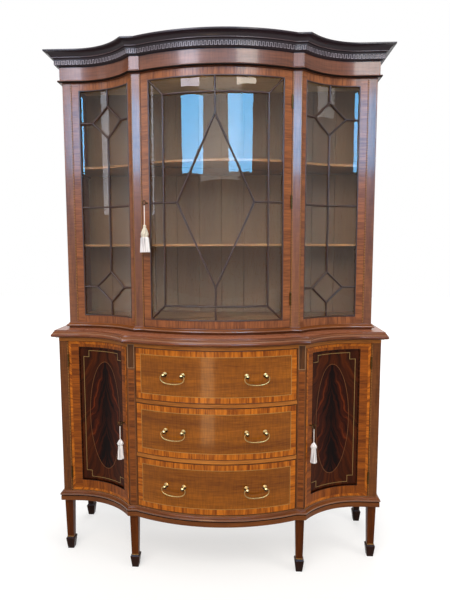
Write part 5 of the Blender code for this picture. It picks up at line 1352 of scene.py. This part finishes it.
def shelf_outline(setback, back, sideways):
    """The front line moved back, cut at the ends, and closed along the back."""
    line = UPPER.front_line()
    line = line - mitres(line, False) * setback
    line = line[np.abs(line[:, 0]) < sideways - SHELF_CORNER]
    ends = [(-sideways, back), (-sideways, line[0, 1]), (sideways, line[-1, 1]), (sideways, back)]
    return np.vstack([ends[:2], line, ends[2:]])


outline = shelf_outline(SHELF_SETBACK, inner_back, inside)
floor_low = DISPLAY_BOTTOM + TOUCH
solid("upper_floor_board", [board(outline, floor_low, floor_low + BOARD_THICKNESS)], [shelf_mahogany],
      "cabinet", ["upper_floor"])
for word, top in SHELF_TOPS:
    solid("shelf_board_" + word, [board(outline, top - SHELF_THICKNESS, top)], [shelf_mahogany], "cabinet",
          ["display_shelf_" + word])

# The fixed side windows: hollow frames with astragal glazing bars in a pattern of two diamonds, a dark
# bead at the glass, and bent glass puttied in behind the bars.
FRAME_THICKNESS = 0.016
BAR_THICKNESS = 0.008
BAR_WIDTH = 0.008
BAR_NOSE_RADIUS = 0.0030
BAR_SHOULDER_DEPTH = 0.0042
BAR_OVERLAP = 0.002
GLASS_REBATE = 0.005
GLASS_THICKNESS = 0.003
GLASS_COVER = 0.004
BEAD_WIDTH = 0.0052
BEAD_PROUD = 0.0018
BEAD_LET_IN = 0.006
GLASS_STEP = 0.010
GLASS_WAVES_PER_M = 7.0
GLAZED_BOTTOM_RAIL = 0.034
GLAZED_TOP_RAIL = 0.032
SIDE_OUTER_STILE = 0.032
SIDE_INNER_STILE = 0.018
SIDE_DIAMOND_OFFSET = 0.0095
SIDE_DIAMOND_WIDTH_SHARE = 0.623
SIDE_DIAMOND_HALF_HEIGHT = 0.066
UPPER_DIAMOND_INSET = 0.167
LOWER_DIAMOND_INSET = 0.161
MIDDLE_BAR_HEIGHT = 0.508

# Glazing bars stained dark, with a shine that runs along their noses
bar_mahogany = wood("dark_glazing_bar", "45271a", "24120c", streak_mm=4.0, shine=0.4)
# Stiles and rails crossbanded in red-brown mahogany: soft stripes across each member, under a gloss
stile_mahogany = wood("crossbanded_stile", "90552c", "603318", streak_mm=7.0, broad_mm=25.0, contrast=0.9,
                      shine=0.16, coat=0.22, streak_share=0.7)


def window_glass():
    """Clear sheet glass, slightly uneven from the bending, that lets lamps through to the shelves.

    Its IOR is lower than real glass's, so that the pale studio in it doesn't veil the shelves.
    """
    made, tree, shader = new_material("bent_window_glass")
    shader.inputs["Base Color"].default_value = (1, 1, 1, 1)
    shader.inputs["Roughness"].default_value = 0.0
    shader.inputs["IOR"].default_value = 1.28
    shader.inputs["Transmission Weight"].default_value = 1.0
    places = add(tree, "TexCoord")
    waves = add(tree, "TexNoise", {"Vector": places.outputs["Object"], "Scale": GLASS_WAVES_PER_M,
                                   "Detail": 0.0})
    bump = add(tree, "Bump", {"Height": waves.outputs[0], "Strength": 0.05, "Distance": 0.002})
    tree.links.new(bump.outputs[0], shader.inputs["Normal"])
    path = add(tree, "LightPath")
    clear = add(tree, "BsdfTransparent")
    mixed = add(tree, "MixShader", {0: path.outputs["Is Shadow Ray"], 1: shader.outputs[0],
                                    2: clear.outputs[0]})
    tree.links.new(mixed.outputs[0], tree.nodes["Material Output"].inputs["Surface"])
    return made


glass = window_glass()
arc = np.linspace(math.pi, 0, 9)
bar_nose = together(BAR_NOSE_RADIUS * np.cos(arc), -BAR_NOSE_RADIUS + BAR_NOSE_RADIUS * np.sin(arc))
half = BAR_WIDTH / 2
bar_section = np.vstack([[(-half, -BAR_THICKNESS), (-half, -BAR_SHOULDER_DEPTH)], bar_nose,
                         [(half, -BAR_SHOULDER_DEPTH), (half, -BAR_THICKNESS)]])
bead_section = half_round(BEAD_WIDTH / 2, BEAD_PROUD, BEAD_LET_IN, 9)


def diamond(centre, half_width, half_height):
    """A diamond's corners, anticlockwise from its right-hand one."""
    x, z = centre
    return [(x + half_width, z), (x, z + half_height), (x - half_width, z), (x, z - half_height)]


def pane(left, right, low, high, lay):
    """Bent glass: a thin upright section carried round the curve."""
    half = (high - low) / 2 + GLASS_COVER
    middle = (low + high) / 2
    front = -BAR_THICKNESS - TOUCH
    back = front - GLASS_THICKNESS
    section = [(-half, front), (half, front), (half, back), (-half, back)]
    return carry([(left - GLASS_COVER, middle), (right + GLASS_COVER, middle)], section, lay, step=GLASS_STEP)


low = DISPLAY_BOTTOM + TOUCH
high = DISPLAY_TOP - TOUCH
glass_low = DISPLAY_BOTTOM + GLAZED_BOTTOM_RAIL
glass_high = DISPLAY_TOP - GLAZED_TOP_RAIL
window_outer_x = UPPER_HALF_WIDTH - PILASTER_WIDTH - SIDE_OUTER_STILE
window_inner_x = INNER_PILASTER_EDGE + PILASTER_WIDTH + SIDE_INNER_STILE
first = UPPER_SWEEP_START - (UPPER_HALF_WIDTH - PILASTER_WIDTH - TOUCH)
limit = INNER_PILASTER_EDGE + PILASTER_WIDTH + TOUCH
last = UPPER.sweep_along(limit)
last_behind = UPPER.sweep_along(limit, -FRAME_THICKNESS)
left = UPPER.sweep_along(window_outer_x)
right = UPPER.sweep_along(window_inner_x)
middle = UPPER.sweep_along((window_outer_x + window_inner_x) / 2 - SIDE_DIAMOND_OFFSET)
half = SIDE_DIAMOND_WIDTH_SHARE * (window_outer_x - window_inner_x) / 2
lower_diamond = diamond((middle, DISPLAY_BOTTOM + LOWER_DIAMOND_INSET), half, SIDE_DIAMOND_HALF_HEIGHT)
upper_diamond = diamond((middle, DISPLAY_TOP - UPPER_DIAMOND_INSET), half, SIDE_DIAMOND_HALF_HEIGHT)
across = DISPLAY_BOTTOM + MIDDLE_BAR_HEIGHT
straight_bars = [
    [(left - BAR_OVERLAP, across), (right + BAR_OVERLAP, across)],
    [(middle, glass_low - BAR_OVERLAP), lower_diamond[3]],
    [lower_diamond[1], upper_diamond[3]],
    [upper_diamond[1], (middle, glass_high + BAR_OVERLAP)],
]
for corners in (lower_diamond, upper_diamond):
    straight_bars.append([(left - BAR_OVERLAP, corners[2][1]), corners[2]])
    straight_bars.append([corners[0], (right + BAR_OVERLAP, corners[0][1])])
for side, word in SIDES:
    lay = UPPER.on_sweep(side)
    members = framed(lay, first, first, last, last_behind, left, right, low, high, glass_low, glass_high,
                     FRAME_THICKNESS, BAR_THICKNESS, GLASS_REBATE)
    solid("side_window_frame_" + word, members, [stile_mahogany], "cabinet",
          ["side_frame_" + word])
    bars = [carry(points, bar_section, lay) for points in straight_bars]
    bars += [carry(corners, bar_section, lay, True) for corners in (lower_diamond, upper_diamond)]
    bead = rectangle(left, right, glass_low, glass_high)
    bars.append(carry(bead, bead_section, lay, True))
    solid("side_window_bars_" + word, bars, [bar_mahogany], "cabinet")
    solid("side_window_glass_" + word, [pane(left, right, glass_low, glass_high, lay)], [glass], "cabinet",
          ["side_glass_" + word])

# The glazed door: a bowed frame hung on three brass butts, with bars that form a tall diamond through
# a rectangle, and one sheet of bent glass.
DOOR_STILE = 0.033
DOOR_RECTANGLE_SIDE = 0.063
DOOR_RECTANGLE_BOTTOM = 0.092
DOOR_RECTANGLE_TOP = 0.093
DOOR_DIAMOND_WIDTH_SHARE = 0.728
DOOR_DIAMOND_BOTTOM = 0.169
DOOR_DIAMOND_TOP = 0.174
DOOR_HINGE_INSET = 0.120
door_edge = INNER_PILASTER_EDGE - DOOR_GAP
low = DISPLAY_BOTTOM + DOOR_GAP
high = DISPLAY_TOP - DOOR_GAP
end = UPPER.bow_along(door_edge)
end_behind = UPPER.bow_along(door_edge, -FRAME_THICKNESS)
window = UPPER.bow_along(door_edge - DOOR_STILE)
half = window - DOOR_RECTANGLE_SIDE
bottom = DISPLAY_BOTTOM + DOOR_RECTANGLE_BOTTOM
top = DISPLAY_TOP - DOOR_RECTANGLE_TOP
diamond_low = DISPLAY_BOTTOM + DOOR_DIAMOND_BOTTOM
diamond_high = DISPLAY_TOP - DOOR_DIAMOND_TOP
across = (diamond_low + diamond_high) / 2
members = framed(UPPER.on_bow, -end, -end_behind, end, end_behind, -window, window, low, high, glass_low,
                 glass_high, FRAME_THICKNESS, BAR_THICKNESS, GLASS_REBATE)
solid("bowed_door_frame", members, [stile_mahogany], "glazed_door",
      ["glazed_door_frame"])
tall_diamond = diamond((0, across), half * DOOR_DIAMOND_WIDTH_SHARE, (diamond_high - diamond_low) / 2)
straight_bars = [
    [(-window - BAR_OVERLAP, across), tall_diamond[2]], [tall_diamond[0], (window + BAR_OVERLAP, across)],
    [(0, glass_low - BAR_OVERLAP), tall_diamond[3]], [tall_diamond[1], (0, glass_high + BAR_OVERLAP)],
]
corner_lap = BAR_OVERLAP / 2
for side in (-1, 1):
    straight_bars.append([(side * (window + corner_lap), glass_low - corner_lap), (side * half, bottom)])
    straight_bars.append([(side * half, top), (side * (window + corner_lap), glass_high + corner_lap)])
bars = [carry(points, bar_section, UPPER.on_bow) for points in straight_bars]
bars.append(carry(tall_diamond, bar_section, UPPER.on_bow, True))
bars.append(carry(rectangle(-half, half, bottom, top), bar_section, UPPER.on_bow, True))
bars.append(carry(rectangle(-window, window, glass_low, glass_high), bead_section, UPPER.on_bow, True))
solid("bowed_door_bars", bars, [bar_mahogany], "glazed_door")
solid("bowed_door_glass", [pane(-window, window, glass_low, glass_high, UPPER.on_bow)], [glass],
      "glazed_door", ["glazed_door_glass"])
hinges("glazed_door", INNER_PILASTER_EDGE - DOOR_GAP / 2, UPPER_POST_Y - HINGE_STANDOFF,
       (DISPLAY_BOTTOM + DOOR_HINGE_INSET, (DISPLAY_BOTTOM + DISPLAY_TOP) / 2,
        DISPLAY_TOP - DOOR_HINGE_INSET), "cabinet", "glazed_door", 1)

# The frieze: a veneered mahogany band on an astragal whose underside is coloured black as painted shade,
# with a block standing proud over each inner pilaster.
FRIEZE_BOTTOM = 2.0885
CORNICE_BOTTOM = 2.140
FRIEZE_OVERHANG = 0.008
FRIEZE_THICKNESS = 0.026
ASTRAGAL_OVERHANG = 0.016
BLOCK_PROUD = 0.004
# Red-brown veneer crossed by fine ticks, under a clear polish
frieze_mahogany = wood("frieze_veneer", "7a462c", "522c1a", streak_mm=7.0, contrast=0.5, ticks=0.16,
                       tick_mm=7.0, shine=0.25, coat=0.35)
inner = FRIEZE_OVERHANG - FRIEZE_THICKNESS
tall = FRIEZE_BOTTOM - DISPLAY_TOP
astragal = through([(0.62, 0.10), (0.92, 0.22), (1.0, 0.50), (0.90, 0.80), (0.62, 0.94)], 5)
astragal = astragal * (ASTRAGAL_OVERHANG, tall) + (0, DISPLAY_TOP)
frieze_section = np.vstack([
    [(inner, DISPLAY_TOP), (ASTRAGAL_OVERHANG * 0.55, DISPLAY_TOP)], astragal,
    [(FRIEZE_OVERHANG, FRIEZE_BOTTOM), (FRIEZE_OVERHANG, CORNICE_BOTTOM), (inner, CORNICE_BOTTOM)],
])
# The astragal's underside, up to its middle, is coloured black as painted shade
frieze_finish = np.zeros(len(frieze_section), int)
frieze_finish[1:len(astragal) // 2 + 3] = 1
frieze_members = [carry(UPPER.front_line(BACK_Y), frieze_section, in_plan, finish=frieze_finish[None])]
depth = FRIEZE_OVERHANG + BLOCK_PROUD
block_levels = [(PILASTER_WIDTH, depth, FRIEZE_BOTTOM), (PILASTER_WIDTH, depth, CORNICE_BOTTOM)]
for side in (-1, 1):
    middle = side * (INNER_PILASTER_EDGE + PILASTER_WIDTH / 2)
    frieze_members.append(loft(block_levels, (middle, UPPER_POST_Y - depth / 2)))
solid("frieze_band", frieze_members, [frieze_mahogany, black_painted_shade], "cabinet", ["frieze"])

# The cornice: a bed moulding, a flat that carries the fret between two fillets, and a cyma under the
# top fillet, run in dark mahogany. The blind fret is a meander glued on, coloured pale grey as painted
# highlights on its strokes.
CORNICE_HEIGHT = 0.0585
CORNICE_OVERHANG = 0.050
CORNICE_THICKNESS = 0.026
FRET_PITCH = 0.0160
FRET_STROKE = 0.0025
FRET_THICKNESS = 0.0025
FRET_STEP = 0.004
FRET_LOW_SHARE = 0.11
FRET_HIGH_SHARE = 0.41
FLAT_SHARE = 0.28
FILLET_SHARE = 0.56
cornice_shares = np.vstack([
    [(0.02, 0.0), (0.02, 0.02)],
    through([(0.05, 0.03), (0.12, 0.05), (0.15, 0.085)], 4),
    [(0.27, 0.09), (FLAT_SHARE, 0.10), (FLAT_SHARE, 0.42), (0.33, 0.42), (0.33, 0.455)],
    through([(0.335, 0.46), (0.37, 0.52), (0.45, 0.555)], 4),
    [(0.50, FILLET_SHARE), (0.50, 0.61), (0.53, 0.615)],
    through([(0.535, 0.63), (0.58, 0.68), (0.68, 0.77), (0.84, 0.85), (0.93, 0.875)], 6),
    [(0.96, 0.88), (0.97, 0.90), (1.0, 0.905), (1.0, 1.0)],
])
cornice_low = CORNICE_BOTTOM + TOUCH
tall = CORNICE_HEIGHT - TOUCH
cornice_section = cornice_shares * (CORNICE_OVERHANG, tall) + (FRIEZE_OVERHANG, cornice_low)
inner = FRIEZE_OVERHANG - CORNICE_THICKNESS
cornice_section = np.vstack([cornice_section, [(inner, cornice_section[-1, 1]), (inner, cornice_low)]])
cornice_line = UPPER.front_line(BACK_Y)
# Dark mahogany made nearly black and purplish by painted shade under the overhang and a painted cast of
# sky light, and its one fillet painted pale grey as the highlight it catches
cornice_stain_and_painted_shade = wood("cornice_stain_and_painted_shade", "2c1d25", "170e14", streak_mm=6.0, shine=0.20, coat=0.12)
grey_fillet_highlight = wood("cornice_fillet_painted_highlight", "6a585a", "48393c", streak_mm=6.0, shine=0.20)
cornice_finish = row_finishes(cornice_shares, (FILLET_SHARE, 0.60, 1))
solid("cornice_run", [carry(cornice_line, cornice_section, in_plan, finish=cornice_finish[None])],
      [cornice_stain_and_painted_shade, grey_fillet_highlight], "cabinet", ["cornice"])
flat_out = FRIEZE_OVERHANG + CORNICE_OVERHANG * FLAT_SHARE
fret_low = cornice_low + tall * FRET_LOW_SHARE + TOUCH
fret_high = cornice_low + tall * FRET_HIGH_SHARE - TOUCH
vectors = mitres(cornice_line, False)
flat_line = cornice_line + vectors * flat_out
flat_reach = reach_along(flat_line)
line_table = np.column_stack([flat_line, vectors])


def on_cornice(p, height, rise):
    """Lays on the cornice's flat: p is the length along it from the left back corner."""
    x, y, a, b = (np.interp(p, flat_reach, column) for column in line_table.T)
    return together(x + a * rise, y + b * rise, height)


count = round(flat_reach[-1] / FRET_PITCH)
pitch = flat_reach[-1] / count
half = FRET_STROKE / 2
fret_bottom = fret_low + half
fret_top = fret_high - half
starts = np.arange(count) * pitch + half
cell = np.array([(0, 0), (0, 1), (0.5, 1), (0.5, 0)])
meander = starts[:, None, None] * (1, 0) + cell * (pitch, fret_top - fret_bottom)
meander = meander.reshape(-1, 2) + (0, fret_bottom)
# The fret's section, with its two arrises taken off
fret_section = [(-half, -TOUCH), (-half, FRET_THICKNESS * 0.85), (-half * 0.8, FRET_THICKNESS),
                (half * 0.8, FRET_THICKNESS), (half, FRET_THICKNESS * 0.85), (half, -TOUCH)]
# Fretwork coloured pale grey as painted highlights on its strokes, against the dark flat
fret_highlight_grey = wood("fret_painted_highlights", "9c96a1", "6b646c", contrast=0.5, coat=0.05)
solid("blind_fret", [carry(meander, fret_section, on_cornice, step=FRET_STEP)], [fret_highlight_grey], "cabinet",
      ["cornice_fret"])

# Keys: small brass keys left in their locks, each a turned shank and collar with a round bow of wire
# brazed to its end. They have never been cleaned, so they share the butts' tarnish.
KEY_SHANK_RADIUS = 0.0022
KEY_SHANK_LENGTH = 0.0155
KEY_COLLAR_RADIUS = 0.0036
KEY_BOW_RADIUS = 0.0085
KEY_WIRE_RADIUS = 0.0019
KEY_BOW_REACH = KEY_SHANK_LENGTH + KEY_BOW_RADIUS - KEY_WIRE_RADIUS
KEY_DEPTH = 0.010
KEY_CLEARANCE = 0.0005
DOOR_KEY_HEIGHT = DISPLAY_BOTTOM + 0.515
DOOR_KEY_INSET = 0.0235
CUPBOARD_KEY_HEIGHT = BASE_TOP + 0.355
CUPBOARD_KEY_INSET = 0.017


def key_places():
    """Each key's name, its door, its place on the door's face and the way that it points."""
    along = DOOR_KEY_INSET - UPPER.bow_along(door_edge)
    found = [("glazed_door", "glazed_door", *facing(UPPER.on_bow, along, DOOR_KEY_HEIGHT))]
    for side, word in SIDES:
        along = opening_right + CUPBOARD_KEY_INSET
        place = facing(LOWER.on_sweep(side), along, CUPBOARD_KEY_HEIGHT)
        found.append(("cupboard_" + word, "cupboard_door_" + word, *place))
    return found


key_end = KEY_CLEARANCE - KEY_DEPTH
# (radius, reach off the door) in metres: the shank in its lock, the collar, the stem and its shoulder
shank = [(0, key_end), (KEY_SHANK_RADIUS, key_end), (KEY_SHANK_RADIUS, 0.0006), (KEY_COLLAR_RADIUS, 0.0008),
         (KEY_COLLAR_RADIUS, 0.0022), (0.0028, 0.0030), (KEY_SHANK_RADIUS, 0.0036),
         (KEY_SHANK_RADIUS, 0.0115), (0.0030, 0.0120), (0.0030, 0.0135),
         (KEY_SHANK_RADIUS, KEY_SHANK_LENGTH)]
turn = np.linspace(0, 2 * math.pi, 33)[:-1, None]
for name, _, face, out in key_places():
    bow = face + out * KEY_BOW_REACH + KEY_BOW_RADIUS * (np.cos(turn) * out + np.sin(turn) * UP)
    members = [turned(shank, face, out, 20), tube(bow, KEY_WIRE_RADIUS, np.cross(out, UP), closed=True)]
    solid(name + "_brass_key", members, [tarnished_brass], name + "_key", [name + "_key"])

# Tassels: cream silk on a twisted cord from each key. The head is a turned mould under a net of ecru
# thread, bound at the neck, and the skirt's threads hang below it.
CORD_RADIUS = 0.0016
CORD_LAY = 0.0085
# The cord's knotted end is inside the mould, this far above the hem
BELOW_CORD = 0.055
ROUTE_POINTS = 90
ROPE_SIDES = 24
THREAD_SIDES = 144
STRANDS_PER_CM = 3
HEM_WAVES = 5
# Shares of the radius and of the length down, from the cord to the hem
BALL_HEAD = ((0.10, 0.0), (0.26, 0.04), (0.54, 0.10), (0.80, 0.17), (0.88, 0.22), (0.84, 0.27), (0.68, 0.315))
BALL_NECK = ((0.46, 0.300), (0.60, 0.308), (0.64, 0.322), (0.60, 0.338), (0.46, 0.346))
LONG_SKIRT = ((0.50, 0.33), (0.70, 0.36), (0.78, 0.52), (0.88, 0.78), (1.0, 1.0))
CONE_HEAD = ((0.10, 0.0), (0.25, 0.02), (0.30, 0.055), (0.25, 0.09), (0.33, 0.13), (0.50, 0.21), (0.65, 0.30),
             (0.72, 0.36), (0.60, 0.41))
CONE_NECK = ((0.52, 0.395), (0.68, 0.403), (0.72, 0.422), (0.68, 0.441), (0.52, 0.450))
SHORT_SKIRT = ((0.52, 0.44), (0.74, 0.462), (0.82, 0.50), (0.87, 0.64), (0.93, 0.82), (1.0, 1.0))
# Each tassel: the cord that shows, its length and radius, its head, neck and skirt, and the head's finish
TASSELS = {
    "glazed_door": (0.078, 0.112, 0.0200, CONE_HEAD, CONE_NECK, SHORT_SKIRT, 1),
    "cupboard_left": (0.056, 0.087, 0.0128, BALL_HEAD, BALL_NECK, LONG_SKIRT, 0),
    "cupboard_right": (0.056, 0.087, 0.0128, BALL_HEAD, BALL_NECK, LONG_SKIRT, 0),
}


def silk(name, light, dark):
    """Silk thread: a soft sheen over strands that run down the tassel, drawn coarser than real to show."""
    made, tree, shader = new_material(name)
    places = add(tree, "TexCoord")
    strands = add(tree, "Mapping", {"Vector": places.outputs["UV"], "Scale": (1.0, 0.04, 1.0)})
    streaks = add(tree, "TexNoise", {"Vector": strands.outputs[0], "Scale": 100.0 * STRANDS_PER_CM,
                                     "Detail": 2.0})
    spread = add(tree, "MapRange", {0: streaks.outputs[0], 1: 0.32, 2: 0.60})
    colour = add(tree, "Mix", {0: spread.outputs[0], 6: linear(dark), 7: linear(light)}, data_type="RGBA")
    tree.links.new(colour.outputs[2], shader.inputs["Base Color"])
    bump = add(tree, "Bump", {"Height": streaks.outputs[0], "Strength": 0.3, "Distance": 0.0005})
    tree.links.new(bump.outputs[0], shader.inputs["Normal"])
    shader.inputs["Roughness"].default_value = 0.55
    shader.inputs["Sheen Weight"].default_value = 0.4
    return made


# Cream silk for the skirts, ecru silk netted over the long head, and a white cord
cream_silk = silk("cream_silk_thread", "f8f4f2", "8e868c")
net_silk = silk("ecru_silk_net", "e2d8c4", "847c6c")
cord_silk = silk("twisted_silk_cord", "fdf6f2", "dccfc8")


def rope(path, radius, lay_length):
    """A three-strand cord: the radius rises and falls three times round, turning once each lay."""
    reach = reach_along(path)[:, None]
    angles = np.linspace(0, 2 * math.pi, ROPE_SIDES + 1)[None]
    lobes = radius * (0.88 + 0.12 * np.cos(3 * (angles - 2 * math.pi * reach / lay_length)))
    grid = path[:, None] + together(lobes * np.cos(angles), lobes * np.sin(angles), 0.0)
    uv = together(angles * radius, reach)
    return [(grid, uv, 0)] + end_caps(grid, uv)


def threads(top, length, radius, shares, count, depth, hem=0.0, twist=0.0, finish=0):
    """Threads laid round a mould: the turned profile, with ridges that grow a little towards the hem.

    With a twist, two sets of ridges wind down opposite ways and cross each other in a net. A hem waves
    the threads apart a little, and leaves their ends uneven on the last ring.
    """
    profile = through(shares, 5)
    drop = length * profile[:, 1]
    fallen = profile[:, 1:2] - profile[0, 1]
    angles = np.linspace(0, 2 * math.pi, THREAD_SIDES + 1)[None]
    slant = twist * fallen
    ridge = 1 + depth * np.maximum(np.cos(count * angles + slant), np.cos(count * angles - slant))
    wave = 1 + hem * np.sin(HEM_WAVES * angles + 1.3) * fallen ** 2
    spread = radius * profile[:, :1] * ridge * wave
    ragged = hem * 0.01 * np.cos(count * angles + 0.5) * (profile[:, 1:2] >= 0.999)
    grid = top + together(spread * np.cos(angles), spread * np.sin(angles), ragged - drop[:, None])
    uv = together(angles * radius, drop[:, None])
    top_point = np.broadcast_to(top - (0, 0, drop[0]), grid[:1].shape)
    low_point = np.broadcast_to(top - (0, 0, drop[-1] - 0.1 * length), grid[:1].shape)
    return [(np.concatenate([top_point, grid, low_point]), np.concatenate([uv[:1], uv, uv[-1:]]), finish)]


for name, body, face, out in key_places():
    cord_length, length, radius, head_shares, neck_shares, skirt_shares, head_finish = TASSELS[name]
    start = face + out * KEY_BOW_REACH - (KEY_BOW_RADIUS + KEY_WIRE_RADIUS + TOUCH) * UP
    whole_cord = cord_length + length - BELOW_CORD
    route = start - np.linspace(0, whole_cord, ROUTE_POINTS)[:, None] * UP
    cord = solid(name + "_tassel_cord", [rope(route, CORD_RADIUS, CORD_LAY)], [cord_silk], body,
                 [name + "_tassel"])
    head = start - cord_length * UP
    members = [
        threads(head, length, radius, head_shares, count=6, depth=0.16, twist=26.0, finish=head_finish),
        threads(head, length, radius, neck_shares, count=18, depth=0.03, finish=head_finish),
        threads(head, length, radius, skirt_shares, count=30, depth=0.06, hem=0.12),
    ]
    tassel = solid(name + "_silk_tassel", members, [cream_silk, net_silk], body,
                   [name + "_tassel"])
